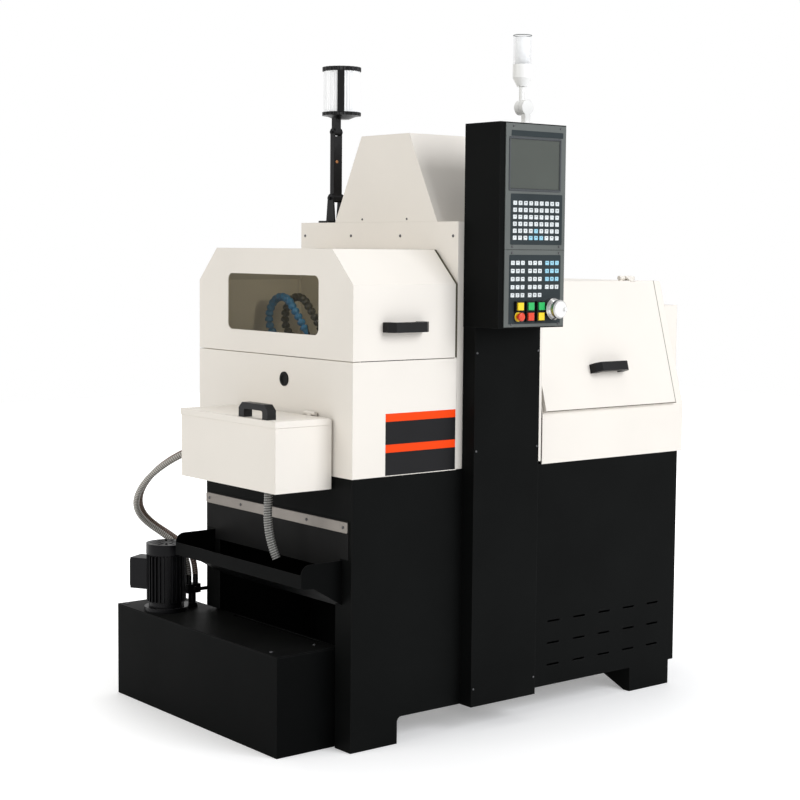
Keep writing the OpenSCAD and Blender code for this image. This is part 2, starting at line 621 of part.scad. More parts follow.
module bar_inlet_cover() color(paint_white) at_origin() {
    difference() {
        slab([cab_x1, inlet_y[0], inlet_z[0]], [x_max, inlet_y[1], inlet_z[1]]);
        slab([cab_x1 - 1, inlet_y[0] + 2, inlet_z[0] + 2], [x_max - 2, inlet_y[1] - 2, inlet_z[1] - 2]);
        bar_x([x_max - 3, spin_y, spin_z], inlet_r, 4);
    }
    difference() {
        bar_x([x_max - 14, spin_y, spin_z], inlet_r + 4, 12);
        bar_x([x_max - 15, spin_y, spin_z], inlet_r, 15);
    }
}

// Control pillar, box and panels
ctrl_z0 = ctrl_top - ctrl_h;
panel_t = 3;
panel_x0 = ctrl_x0 + 17;
panel_x1 = ctrl_x1 - 3;
key_seam = ctrl_z0 + 204;
box_back = 2;
module control_pillar() color(paint_black) at_origin() difference() {
    slab([ctrl_x0, -pillar_out, skirt_z], [ctrl_x1, 0, ctrl_z0]);
    slab([ctrl_x0 + 2.5, -pillar_out + 2.5, skirt_z - 1], [ctrl_x1 - 2.5, 1, ctrl_z0 - 2.5]);
}
module control_box() color(paint_black) at_origin() difference() {
    slab([ctrl_x0, -ctrl_out + panel_t, ctrl_z0], [ctrl_x1, box_back, ctrl_top]);
    slab([ctrl_x0 + 2.5, -ctrl_out + panel_t + 2.5, ctrl_z0 + 2.5], [ctrl_x1 - 2.5, box_back - 2.5,
        ctrl_top - 2.5]);
    slab([panel_x0 + 8, -ctrl_out, ctrl_z0 + 12], [panel_x1 - 8, -ctrl_out + 20, ctrl_top - 12]);
}
lcd_x0 = ctrl_x0 + 34;
lcd_w = 173;
lcd_z0 = key_seam + 158;
lcd_h = 127;
module panel_plate(z0, z1) slab([panel_x0, -ctrl_out, z0], [panel_x1, -ctrl_out + panel_t, z1]);
module display_panel() color([0.33, 0.35, 0.33]) at_origin() {
    difference() {
        panel_plate(key_seam + 0.5, ctrl_top - 3);
        slab([lcd_x0, -ctrl_out - 1, lcd_z0], [lcd_x0 + lcd_w, -ctrl_out + panel_t + 1, lcd_z0 + lcd_h]);
    }
    slab([panel_x0 + 12, -ctrl_out + panel_t, key_seam + 20], [panel_x1 - 12, -ctrl_out + 80, ctrl_top
        - 16]);
}
module lcd_screen() color([0.37, 0.39, 0.37]) at_origin()
    slab([lcd_x0 + 0.3, -ctrl_out + 1, lcd_z0 + 0.3], [lcd_x0 + lcd_w - 0.3, -ctrl_out + panel_t,
        lcd_z0 + lcd_h - 0.3]);
// Keys: one raised pad each, in a field of nine columns above and three blocks below
key = [13, 1.2, 11];
module key_pad(x, z) translate([x - key[0] / 2, -ctrl_out - key[1], z - key[2] / 2]) cube(key);
key_col = 18.8;
key_row = 18;
upper_keys = [for (i = [0:8], j = [0:5]) [ctrl_x0 + 50 + i * key_col, key_seam + 31 + j * key_row]];
lower_keys = [for (g = [0:2], i = [0:2], j = [0:4]) if (g < 2 || j > 0)
    [ctrl_x0 + 45 + g * 61 + i * 17.6, key_seam - 118 + j * 21]];
module panel_keys() color([0.82, 0.85, 0.86]) at_origin() {
    for (p = concat(upper_keys, lower_keys)) key_pad(p[0], p[1]);
}
// Operator panel with button bezels; the buttons slide in their bezels
button_cap = 20;
button_travel = 4;
button_at = [[66, 57], [103, 57], [140, 57], [103, 30], [140, 30]];
estop_at = [66, 30];
stem_r = 6;
module at_button(p) translate([ctrl_x0 + p[0], -ctrl_out, ctrl_z0 + p[1]]) rotate([90, 0, 0]) children();
wheel_at = [182, 49];
module operator_panel() color([0.33, 0.35, 0.33]) at_origin() {
    difference() {
        union() {
            panel_plate(ctrl_z0 + 3, key_seam - 0.5);
            for (p = button_at) at_button(p) difference() {
                translate([0, 0, 4]) cube([button_cap + 5, button_cap + 5, 8], center = true);
                translate([0, 0, 5]) cube([button_cap + 2 * gap, button_cap + 2 * gap, 10], center = true);
            }
            at_button(estop_at) cylinder(r = 13, h = 2);
        }
        for (p = concat(button_at, [estop_at])) at_button(p) translate([0, 0, -panel_t - 1]) cylinder(r
            = stem_r + fit, h = 10);
        at_button(wheel_at) translate([0, 0, -panel_t - 1]) cylinder(r = 8, h = 10);
    }
}
module push_button(i) at_button(button_at[i]) {
    translate([0, 0, button_travel + 4.5]) cube([button_cap, button_cap, 8], center = true);
    translate([0, 0, -14]) cylinder(r = stem_r, h = 16);
    translate([0, 0, -panel_t - gap - 3]) cylinder(r = stem_r + 2, h = 3);
}
module push_button_1() color([0.95, 0.75, 0.10]) at_origin() push_button(0);
module push_button_2() color([0.15, 0.65, 0.30]) at_origin() push_button(1);
module push_button_3() color([0.15, 0.65, 0.30]) at_origin() push_button(2);
module push_button_4() color([0.85, 0.22, 0.10]) at_origin() push_button(3);
module push_button_5() color([0.95, 0.75, 0.10]) at_origin() push_button(4);
module estop_button() color([0.80, 0.10, 0.08]) at_origin() at_button(estop_at) {
    translate([0, 0, -14]) cylinder(r = stem_r, h = 24);
    translate([0, 0, 8]) rotate_extrude() polygon([[0, 0], [8, 0], [11, 3], [11, 8], [9, 10], [0, 11]]);
    translate([0, 0, -panel_t - gap - 3]) cylinder(r = stem_r + 2, h = 3);
}
// Handwheel: fixed dial with a running bore, and the turning disc with its finger knob
wheel_gap = 0.5;
module handwheel_base() color([0.75, 0.75, 0.74]) at_origin() at_button(wheel_at) difference() {
    rotate_extrude() polygon([[0, 0], [wheel_dia / 2, 0], [wheel_dia / 2, 16], [wheel_dia / 2 - 6, 25],
        [0, 25]]);
    translate([0, 0, 3]) cylinder(r = 5 + fit, h = 30);
}
module handwheel() color([0.93, 0.93, 0.91]) at_origin() at_button(wheel_at) {
    translate([0, 0, 5]) cylinder(r = 5, h = 26);
    translate([0, 0, 25 + wheel_gap]) rotate_extrude()
        polygon([[0, 0], [wheel_dia / 2 - 7, 0], [wheel_dia / 2 - 5, 2], [wheel_dia / 2 - 5, 12],
            [wheel_dia / 2 - 8, 15], [0, 15]]);
    translate([wheel_dia / 2 - 15, 0, 40]) cylinder(r = 5, h = wheel_out - 40);
}

// Signal lamp on a folding stem
sig_at = [ctrl_x0 + 149, -60];
sig_z = ctrl_top + 47;
sig_r = 20;
module signal_lamp_foot() color([0.90, 0.90, 0.88]) at_origin() {
    bar_z([sig_at[0], sig_at[1], ctrl_top], 24, 7);
    slab([sig_at[0] - 9, sig_at[1] - 16, ctrl_top + 6], [sig_at[0] + 9, sig_at[1] - gap, sig_z]);
    bar_y([sig_at[0], sig_at[1] - 16, sig_z], sig_r, 16 - gap);
    bar_y([sig_at[0], sig_at[1] - 16, sig_z], 5, 36);
}
module signal_lamp() color([0.92, 0.92, 0.90]) at_origin() {
    difference() {
        union() {
            bar_y([sig_at[0], sig_at[1], sig_z], sig_r, 16);
            translate([sig_at[0], sig_at[1] + 8, sig_z]) rotate_extrude()
                polygon([[0, 0], [7.5, 0], [7.5, 55], [13, 55], [25, 78], [25, 113], [0, 113]]);
        }
        bar_y([sig_at[0], sig_at[1] - 1, sig_z], 5 + fit, 18);
    }
}
module signal_lens() color([0.95, 0.95, 0.94]) at_origin() translate([sig_at[0], sig_at[1] + 8, sig_z +
    113]) rotate_extrude()
    polygon([[0, 0], [24.5, 0], [24.5, 72], [22, 77], [0, 80]]);

// Work lamp on a folding arm
lamp_at = [405, housing_d - 91];
lamp_z = roof_z + 72;
lamp_reach = 192;
lamp_w = 30;
lamp_r = 53;
head_dx = 19;
module lamp_foot() color(plastic_black) at_origin() {
    slab([lamp_at[0] - 45, lamp_at[1] - 24, roof_z], [lamp_at[0] + 25, lamp_at[1] + 24, roof_z + 6]);
    for (s = [-1, 1]) plate_x(lamp_at[0] + s * (lamp_w / 2 + gap + 2.5) - 2.5, lamp_at[0] + s * (lamp_w
        / 2 + gap + 2.5) + 2.5) {
        translate([lamp_at[1], lamp_z]) circle(13);
        polygon([[lamp_at[1] - 20, roof_z + 5], [lamp_at[1] + 20, roof_z + 5], [lamp_at[1] + 13,
            lamp_z], [lamp_at[1] - 13, lamp_z]]);
    }
    bar_x([lamp_at[0] - lamp_w / 2 - gap - 12, lamp_at[1], lamp_z], 5, lamp_w + 2 * gap + 24);
}
module lamp_arm() color(plastic_black) at_origin() {
    difference() {
        plate_x(lamp_at[0] - lamp_w / 2, lamp_at[0] + lamp_w / 2) {
            translate([lamp_at[1], lamp_z]) circle(12);
            translate([lamp_at[1] - 9, lamp_z]) square([18, lamp_reach - 12]);
        }
        bar_x([lamp_at[0] - lamp_w, lamp_at[1], lamp_z], 5 + fit, 2 * lamp_w);
    }
    for (s = [-1, 1]) plate_x(lamp_at[0] + s * (lamp_w / 2 - 2.5) - 2.5, lamp_at[0] + s * (lamp_w / 2 -
        2.5) + 2.5) {
        translate([lamp_at[1], lamp_z + lamp_reach]) circle(11);
        translate([lamp_at[1] - 9, lamp_z + lamp_reach - 20]) square([18, 20]);
    }
    bar_x([lamp_at[0] - lamp_w / 2 - 6, lamp_at[1], lamp_z + lamp_reach], 4, lamp_w + 12);
}
cap_n = 24;
cap_steps = 4 * cap_n;
module lamp_cap(z, h) translate([lamp_at[0] + head_dx, lamp_at[1], z]) linear_extrude(h)
    polygon([for (i = [0:cap_steps - 1]) let (a = i * 360 / cap_steps)
        (lamp_r + 1 + 3 * abs(cos(a * cap_n / 2))) * [cos(a), sin(a)]]);
lens_z = [lamp_z + lamp_reach + 58, lamp_z + lamp_reach + 176];
module lamp_head() color(plastic_black) at_origin() {
    difference() {
        plate_x(lamp_at[0] - lamp_w / 2 + 5 + gap, lamp_at[0] + lamp_w / 2 - 5 - gap) {
            translate([lamp_at[1], lamp_z + lamp_reach]) circle(10);
            translate([lamp_at[1] - 10, lamp_z + lamp_reach]) square([20, lens_z[0] - lamp_z -
                lamp_reach - 9]);
        }
        bar_x([lamp_at[0] - lamp_w, lamp_at[1], lamp_z + lamp_reach], 4 + fit, 2 * lamp_w);
    }
    lamp_cap(lens_z[0] - 10, 10);
    lamp_cap(lens_z[1], 12);
    translate([lamp_at[0] + head_dx, lamp_at[1], lens_z[0] - 20]) cylinder(r1 = 22, r2 = 50, h = 11);
    translate([lamp_at[0] + head_dx, lamp_at[1], lens_z[0] - 1]) rotate(231)
        translate([lamp_r + 0.5, -10, 0]) cube([5, 20, lens_z[1] - lens_z[0] + 2]);
}
module lamp_lens() color([0.93, 0.95, 0.96, 0.6]) at_origin() translate([lamp_at[0] + head_dx,
    lamp_at[1], lens_z[0]]) difference() {
    cylinder(r = lamp_r, h = lens_z[1] - lens_z[0]);
    translate([0, 0, 3]) cylinder(r = lamp_r - 4, h = lens_z[1] - lens_z[0] - 6);
}

// Guide bush in the bulkhead
nose_x = bulk_x - 61;
module guide_bush() color(steel) at_origin() difference() {
    union() {
        bar_x([bulk_x - 18, spin_y, spin_z], 55, 18);
        bar_x([nose_x, spin_y, spin_z], 30, bulk_x - nose_x);
        bar_x([bulk_x - 1, spin_y, spin_z], 35.5, 40);
    }
    bar_x([nose_x - 1, spin_y, spin_z], bar_dia / 2 + fit, bulk_x - nose_x + 60);
    for (a = [30:60:330]) bar_x([bulk_x - 19, spin_y + 44 * cos(a), spin_z + 44 * sin(a)], 4, 8);
}
// Tool slide: vertical carriage on two rails, cross carriage with the gang block
rail_w = 20;
rail_y = [200, 330];
rail_d = 18;
cross_z = [spin_z - 62, spin_z + 62];
cross_w = 16;
v_plate_x = bulk_x - 50;
c_plate_x = v_plate_x - 36;
module vertical_slide() color(dark_steel) at_origin() {
    slab([v_plate_x, 175, spin_z - 110], [v_plate_x + 16, 355, spin_z + 110]);
    for (y = rail_y, z = [spin_z - 100, spin_z + 40]) difference() {
        slab([v_plate_x + 15, y - 22, z], [bulk_x - 4, y + 22, z + 60]);
        slab([bulk_x - rail_d - gap, y - rail_w / 2 - gap, z - 1], [bulk_x, y + rail_w / 2 + gap, z + 61]);
    }
    for (z = cross_z) slab([v_plate_x - 14, 175, z - cross_w / 2], [v_plate_x + 1, 355, z + cross_w / 2]);
    difference() {
        union() {
            slab([v_plate_x + 15, slide_y - 13, spin_z - 22], [screw_x, slide_y + 13, spin_z + 22]);
            bar_z([screw_x, slide_y, spin_z - 34], 22, 68);
        }
        bar_z([screw_x, slide_y, spin_z - 40], 8 + fit, 90);
    }
}
tool_z0 = spin_z - (tool_count - 1) / 2 * tool_pitch;
tool_tip = spin_y - 48;
block_x = c_plate_x - 36;
module cross_slide() color(steel) at_origin() {
    slab([c_plate_x, 130, spin_z - 90], [c_plate_x + 16, 300, spin_z + 90]);
    for (z = cross_z, y = [135, 245]) difference() {
        slab([c_plate_x + 15, y, z - 20], [v_plate_x - 2, y + 50, z + 20]);
        slab([v_plate_x - 14 - gap, y - 1, z - cross_w / 2 - gap], [v_plate_x, y + 51, z + cross_w / 2
            + gap]);
    }
    difference() {
        slab([block_x, 160, tool_z0 - 22], [c_plate_x + 1, 300, tool_z0 + (tool_count - 1) * tool_pitch
            + 22]);
        for (i = [0:tool_count - 1])
            slab([block_x + 8, 159, tool_z0 + i * tool_pitch - shank / 2], [block_x + 8 + shank, 301,
                tool_z0 + i * tool_pitch + shank / 2]);
        for (i = [0:tool_count - 1], y = [190, 230, 270])
            bar_x([block_x - 1, y, tool_z0 + i * tool_pitch], 3, 10);
    }
}
module turning_tools() color([0.20, 0.20, 0.21]) at_origin() for (i = [0:tool_count - 1])
    translate([block_x + 8, 0, tool_z0 + i * tool_pitch - shank / 2]) linear_extrude(shank)
        polygon([[0, 175], [shank, 175], [shank, tool_tip - 10], [shank - 2, tool_tip], [shank / 2,
            tool_tip - 14], [0, tool_tip - 26]]);
module slide_screw() color(steel) at_origin() {
    bar_z([screw_x, slide_y, spin_z - 150], 8, roof_z - spin_z + 140);
    bar_z([screw_x, slide_y, roof_z - 11], 6, 26);
}
// Bed, rails and the headstock that slides on them
bed_y = [spin_y - 160, spin_y + 160];
bed_z = cabinet_z + 90;
head_rail_y = [spin_y - 110, spin_y + 110];
head_x0 = 760;
head_l = 250;
bed_x1 = base_len - 20;
module machine_bed() color([0.45, 0.47, 0.46]) at_origin() {
    difference() {
        slab([feed_x0, bed_y[0], cabinet_z], [bed_x1, bed_y[1], bed_z]);
        for (x = [feed_x0 + 20:170:bed_x1 - 160]) slab([x, bed_y[0] - 1, cabinet_z + 22], [x + 130,
            bed_y[1] + 1, bed_z - 24]);
    }
    difference() {
        for (x = [feed_x0, bed_x1 - 40]) slab([x, spin_y - 32, bed_z - 1], [x + 20, spin_y + 32, feed_z
            + 24]);
        bar_x([feed_x0 - 1, spin_y, feed_z], 7 + fit, bed_x1);
    }
}
module linear_rails() color(steel) at_origin() {
    for (y = rail_y) slab([bulk_x - rail_d, y - rail_w / 2, spin_z - 200], [bulk_x, y + rail_w / 2,
        spin_z + 190]);
    for (y = head_rail_y) slab([head_x0 - head_travel - 30, y - rail_w / 2, bed_z],
        [bed_x1 - 6, y + rail_w / 2, bed_z + rail_d]);
}
module headstock() color([0.50, 0.52, 0.52]) at_origin() {
    plate_z = bed_z + rail_d + 14;
    slab([head_x0, bed_y[0], plate_z], [head_x0 + head_l, bed_y[1], plate_z + 24]);
    for (y = head_rail_y, x = [head_x0 + 10, head_x0 + head_l - 70]) difference() {
        slab([x, y - 24, bed_z + 4], [x + 60, y + 24, plate_z + 1]);
        slab([x - 1, y - rail_w / 2 - gap, bed_z], [x + 61, y + rail_w / 2 + gap, bed_z + rail_d + gap]);
    }
    difference() {
        slab([head_x0 + 100, spin_y - 26, feed_z - 15], [head_x0 + 160, spin_y + 26, plate_z + 1]);
        bar_x([head_x0 + 99, spin_y, feed_z], 10 + fit, 70);
    }
    difference() {
        union() {
            slab([head_x0 + 10, spin_y - 60, plate_z + 23], [head_x0 + head_l - 10, spin_y + 60, spin_z]);
            bar_x([head_x0 + 10, spin_y, spin_z], 76, head_l - 20);
        }
        bar_x([head_x0, spin_y, spin_z], spin_dia / 2 + fit, head_l);
    }
}
module spindle() color(steel) at_origin() difference() {
    union() {
        bar_x([head_x0 - 8, spin_y, spin_z], spin_dia / 2, head_l + 16);
        bar_x([head_x0 - 60, spin_y, spin_z], spin_dia / 2 - 7, 60);
        bar_x([head_x0 - 84, spin_y, spin_z], spin_dia / 2 - 3, 26);
        bar_x([head_x0 + head_l, spin_y, spin_z], 30, 120);
        bar_x([head_x0 + head_l + 40, spin_y, spin_z], 52, 18);
    }
    bar_x([head_x0 - 90, spin_y, spin_z], bar_dia / 2 + 2, head_l + 260);
    for (a = [0:90:270]) bar_x([head_x0 - 85, spin_y + 33 * cos(a), spin_z + 33 * sin(a)], 4, 12);
}
module headstock_screw() color(steel) at_origin() {
    bar_x([feed_x0 + 20 + gap, spin_y, feed_z], 10, bed_x1 - 60 - feed_x0 - 2 * gap);
    bar_x([feed_x0 - 15, spin_y, feed_z], 6, 40);
    bar_x([feed_x0 + 1, spin_y, feed_z], 7, 20);
    bar_x([bed_x1 - 41, spin_y, feed_z], 7, 20);
}
// Coolant nozzles: modular hoses of ball-and-socket links, each ball seated in the next link's socket
link_l = 18;
ball_r = 9;
socket_r = 12;
manifold = [bulk_x, enc_d - 98, spin_z - 61];
function heading(a) = [cos(a[1]) * cos(a[0]), cos(a[1]) * sin(a[0]), sin(a[1])];
function chain(p, a, turns) = len(turns) == 0 ? [p]
    : concat([p], chain(p + link_l * heading(a + turns[0]), a + turns[0], [for (i = [1:1:len(turns) -
        1]) turns[i]]));
arch_bends = [[5, [0, 16]], [1, [90, 4]], [8, [0, -16]], [3, [10, -5]], [2, [0, 0]]];
function turns(straight) = concat([for (i = [1:1:straight]) [0, 0]],
    [for (b = arch_bends) for (i = [1:1:b[0]]) b[1]]);
module link() difference() {
    union() {
        sphere(socket_r);
        cylinder(r = 6.5, h = link_l);
        translate([0, 0, link_l]) sphere(ball_r);
    }
    sphere(ball_r + 0.3);
    translate([0, 0, -socket_r - 4]) cylinder(r = socket_r + 1, h = socket_r);
    translate([0, 0, -1]) cylinder(r = 3.5, h = link_l + ball_r + 2);
}
module along(a, b) translate(a) rotate([0, acos((b - a)[2] / norm(b - a)), atan2((b - a)[1], (b -
    a)[0])]) children();
module nozzle_chain(p) {
    for (i = [0:len(p) - 3]) along(p[i], p[i + 1]) link();
    along(p[len(p) - 2], p[len(p) - 1]) difference() {
        union() {
            sphere(socket_r);
            translate([0, 0, 8]) cylinder(r1 = 9, r2 = 4.5, h = 26);
        }
        sphere(ball_r + 0.3);
        translate([0, 0, -socket_r - 4]) cylinder(r = socket_r + 1, h = socket_r);
        cylinder(r = 3, h = 40);
    }
}
module nozzle_root(y) {
    bar_x([manifold[0] - 34, y, manifold[2]], 6.5, 12);
    translate([manifold[0] - 38, y, manifold[2]]) sphere(ball_r);
}
module coolant_nozzles() color([0.10, 0.35, 0.75]) at_origin() {
    slab([manifold[0] - 24, manifold[1] - 34, manifold[2] - 16], [manifold[0], manifold[1] + 34,
        manifold[2] + 16]);
    for (s = [[14, 4], [-14, 2]]) {
        nozzle_root(manifold[1] + s[0]);
        nozzle_chain(chain([manifold[0] - 38, manifold[1] + s[0], manifold[2]], [180, 0], turns(s[1])));
    }
}

base_cabinet();
apron_sheet();
apron_strip();
chip_tray();
coolant_tank();
tank_lid();
pump_body();
pump_motor();
valve_lever();
coolant_hose();
return_hose();
drain_hose();
parts_box();
parts_box_lid();
lid_handle();
work_enclosure();
hose_grommets();
hood_shell();
hood_window();
hood_handle();
bulkhead_housing();
slide_cover();
servo_motors();
cover_screws();
headstock_cabinet();
cabinet_door();
door_handle();
bar_inlet_cover();
control_pillar();
control_box();
display_panel();
lcd_screen();
panel_keys();
operator_panel();
push_button_1();
push_button_2();
push_button_3();
push_button_4();
push_button_5();
estop_button();
handwheel_base();
handwheel();
signal_lamp_foot();
signal_lamp();
signal_lens();
lamp_foot();
lamp_arm();
lamp_head();
lamp_lens();
guide_bush();
vertical_slide();
cross_slide();
turning_tools();
headstock();
spindle();
machine_bed();
linear_rails();
headstock_screw();
slide_screw();
coolant_nozzles();
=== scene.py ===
import json
import math
import bmesh
import bpy
from mathutils import Matrix, Vector


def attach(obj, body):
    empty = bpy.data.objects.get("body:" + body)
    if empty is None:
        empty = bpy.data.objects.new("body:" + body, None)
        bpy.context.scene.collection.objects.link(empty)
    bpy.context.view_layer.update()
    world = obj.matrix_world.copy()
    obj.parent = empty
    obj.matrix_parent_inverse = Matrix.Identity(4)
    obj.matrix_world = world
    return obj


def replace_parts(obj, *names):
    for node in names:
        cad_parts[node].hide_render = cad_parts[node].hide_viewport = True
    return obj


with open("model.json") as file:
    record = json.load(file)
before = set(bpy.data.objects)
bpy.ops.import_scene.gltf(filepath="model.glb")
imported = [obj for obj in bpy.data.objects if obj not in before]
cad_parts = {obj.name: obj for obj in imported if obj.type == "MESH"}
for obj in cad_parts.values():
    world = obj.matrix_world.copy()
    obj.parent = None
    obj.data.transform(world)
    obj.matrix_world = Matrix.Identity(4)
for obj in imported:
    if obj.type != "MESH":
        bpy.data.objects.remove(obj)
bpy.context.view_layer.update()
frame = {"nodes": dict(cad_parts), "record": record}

scene = bpy.context.scene
scene.view_settings.view_transform = "Standard"
nodes = frame["nodes"]
slots = {part["node"]: part["material_slot"] for part in frame["record"]["subparts"]}

# Machine millimetres start at the window end, the front plane and the floor; the row frame's axis is here
axis_x, axis_y = 551.5, 352.0


def at(x, y, z):
    """A place in machine millimetres, as the row frame's metres."""
    return Vector(((x - axis_x) / 1000, (y - axis_y) / 1000, z / 1000))


def box(node):
    """The low and high corners of a CAD node, in machine millimetres."""
    corners = [nodes[node].matrix_world @ Vector(corner) for corner in nodes[node].bound_box]
    places = [(1000 * c.x + axis_x, 1000 * c.y + axis_y, 1000 * c.z) for c in corners]
    return [Vector([round(pick(values), 3) for values in zip(*places)]) for pick in (min, max)]


def middle(node):
    low, high = box(node)
    return (low + high) / 2


def turns(count):
    """Angles of equal steps round a circle."""
    return [2 * math.pi * i / count for i in range(count)]


# Camera, solved from the photograph's straight edges
camera_at = (-2549, -3384, 1294)
camera_turn, camera_pitch, camera_roll = 38.90, 4.68, 0.52
photo_pixels = 800
focal_pixels = 1688
centre_pixels = (408.8, 386.2)
sensor_width = 36


def make_camera():
    turn, pitch, roll = (math.radians(angle) for angle in (camera_turn, camera_pitch, camera_roll))
    forward = Vector((math.sin(turn) * math.cos(pitch), math.cos(turn) * math.cos(pitch), -math.sin(pitch)))
    level = Vector((math.cos(turn), -math.sin(turn), 0))
    upright = level.cross(forward)
    right = math.cos(roll) * level + math.sin(roll) * upright
    up = math.cos(roll) * upright - math.sin(roll) * level
    data = bpy.data.cameras.new("camera")
    data.sensor_width = sensor_width
    data.lens = sensor_width * focal_pixels / photo_pixels
    data.shift_x = (photo_pixels / 2 - centre_pixels[0]) / photo_pixels
    data.shift_y = (centre_pixels[1] - photo_pixels / 2) / photo_pixels
    camera = bpy.data.objects.new("camera", data)
    scene.collection.objects.link(camera)
    pose = Matrix((right, up, -forward)).transposed().to_4x4()
    pose.translation = at(*camera_at)
    camera.matrix_world = pose
    scene.camera = camera


make_camera()


# Shader nodes
def feed(tree, node, inputs):
    """Links each input to an output, or sets its value."""
    for key, value in inputs.items():
        if isinstance(value, bpy.types.NodeSocket):
            tree.links.new(value, node.inputs[key])
        else:
            node.inputs[key].default_value = value


def add(tree, kind, inputs=None, **settings):
    """A new shader node with its settings and inputs."""
    node = tree.nodes.new("ShaderNode" + kind)
    for key, value in settings.items():
        setattr(node, key, value)
    feed(tree, node, inputs or {})
    return node


def calculate(tree, operation, first, second):
    return add(tree, "Math", {0: first, 1: second}, operation=operation).outputs["Value"]


def blend(tree, amount, first, second):
    """A colour that goes from the first to the second as the amount goes from 0 to 1."""
    ends = [end if isinstance(end, bpy.types.NodeSocket) else (*end, 1) for end in (first, second)]
    inputs = {"Factor": amount, "A": ends[0], "B": ends[1]}
    return add(tree, "Mix", inputs, data_type="RGBA").outputs["Result"]


# Materials: every one has grain, colour variation and edge wear from its nodes
noise_low, noise_high = 0.3, 0.7
edge_radius = 0.0012
edge_start, edge_full = 0.995, 0.86
edge_gain, edge_lift = 1.15, 0.015
grain_depth = 0.0004
dust_colour = (0.35, 0.34, 0.32)
dust_slope = 0.6


def material(name, base, rough, metal=0.0, vary=0.05, vary_scale=9.0, grain=420.0, bump=0.04, edge=None,
             edge_amount=0.35, spec=0.5, alpha=1.0, brushed=None, rough_vary=0.08, dust=0.0, glow=0.0):
    edge = edge or [min(1, edge_gain * c + edge_lift) for c in base]
    look = bpy.data.materials.new(name)
    look.use_nodes = True
    tree = look.node_tree
    place = add(tree, "TexCoord").outputs["Object"]
    patches = add(tree, "TexNoise", {"Vector": place, "Scale": vary_scale, "Detail": 5}).outputs["Fac"]
    if brushed:
        place = add(tree, "Mapping", {"Vector": place, "Scale": brushed}).outputs["Vector"]
    fine = add(tree, "TexNoise", {"Vector": place, "Scale": grain, "Detail": 2}).outputs["Fac"]
    ramp = add(tree, "ValToRGB", {"Fac": patches})
    for end, position, share in zip(ramp.color_ramp.elements, (noise_low, noise_high), (1 - vary, 1 + vary)):
        end.position = position
        end.color = (*[min(1, c * share) for c in base], 1)

    facing = add(tree, "NewGeometry").outputs["Normal"]
    rounded = add(tree, "Bevel", {"Radius": edge_radius}, samples=4).outputs["Normal"]
    bend = add(tree, "VectorMath", {0: rounded, 1: facing}, operation="DOT_PRODUCT").outputs["Value"]
    limits = {"Value": bend, "From Min": edge_start, "From Max": edge_full, "To Max": edge_amount}
    wear = add(tree, "MapRange", limits).outputs["Result"]
    colour = blend(tree, calculate(tree, "MULTIPLY", wear, patches), ramp.outputs["Color"], edge)
    if dust:
        upward = add(tree, "SeparateXYZ", {"Vector": facing}).outputs["Z"]
        settled = add(tree, "MapRange", {"Value": upward, "From Min": dust_slope, "To Max": dust})
        film = calculate(tree, "MULTIPLY", settled.outputs["Result"], patches)
        colour = blend(tree, film, colour, dust_colour)

    limits = {"Value": fine if brushed else patches, "From Min": noise_low, "From Max": noise_high,
              "To Min": max(0.02, rough - rough_vary), "To Max": min(1.0, rough + rough_vary)}
    roughness = add(tree, "MapRange", limits).outputs["Result"]
    relief = {"Strength": bump, "Distance": grain_depth, "Height": fine, "Normal": rounded}
    feed(tree, tree.nodes["Principled BSDF"], {
        "Base Color": colour, "Metallic": metal, "Roughness": roughness, "Specular IOR Level": spec,
        "Alpha": alpha, "Normal": add(tree, "Bump", relief).outputs["Normal"],
        "Emission Color": (1, 1, 1, 1), "Emission Strength": glow})
    return look


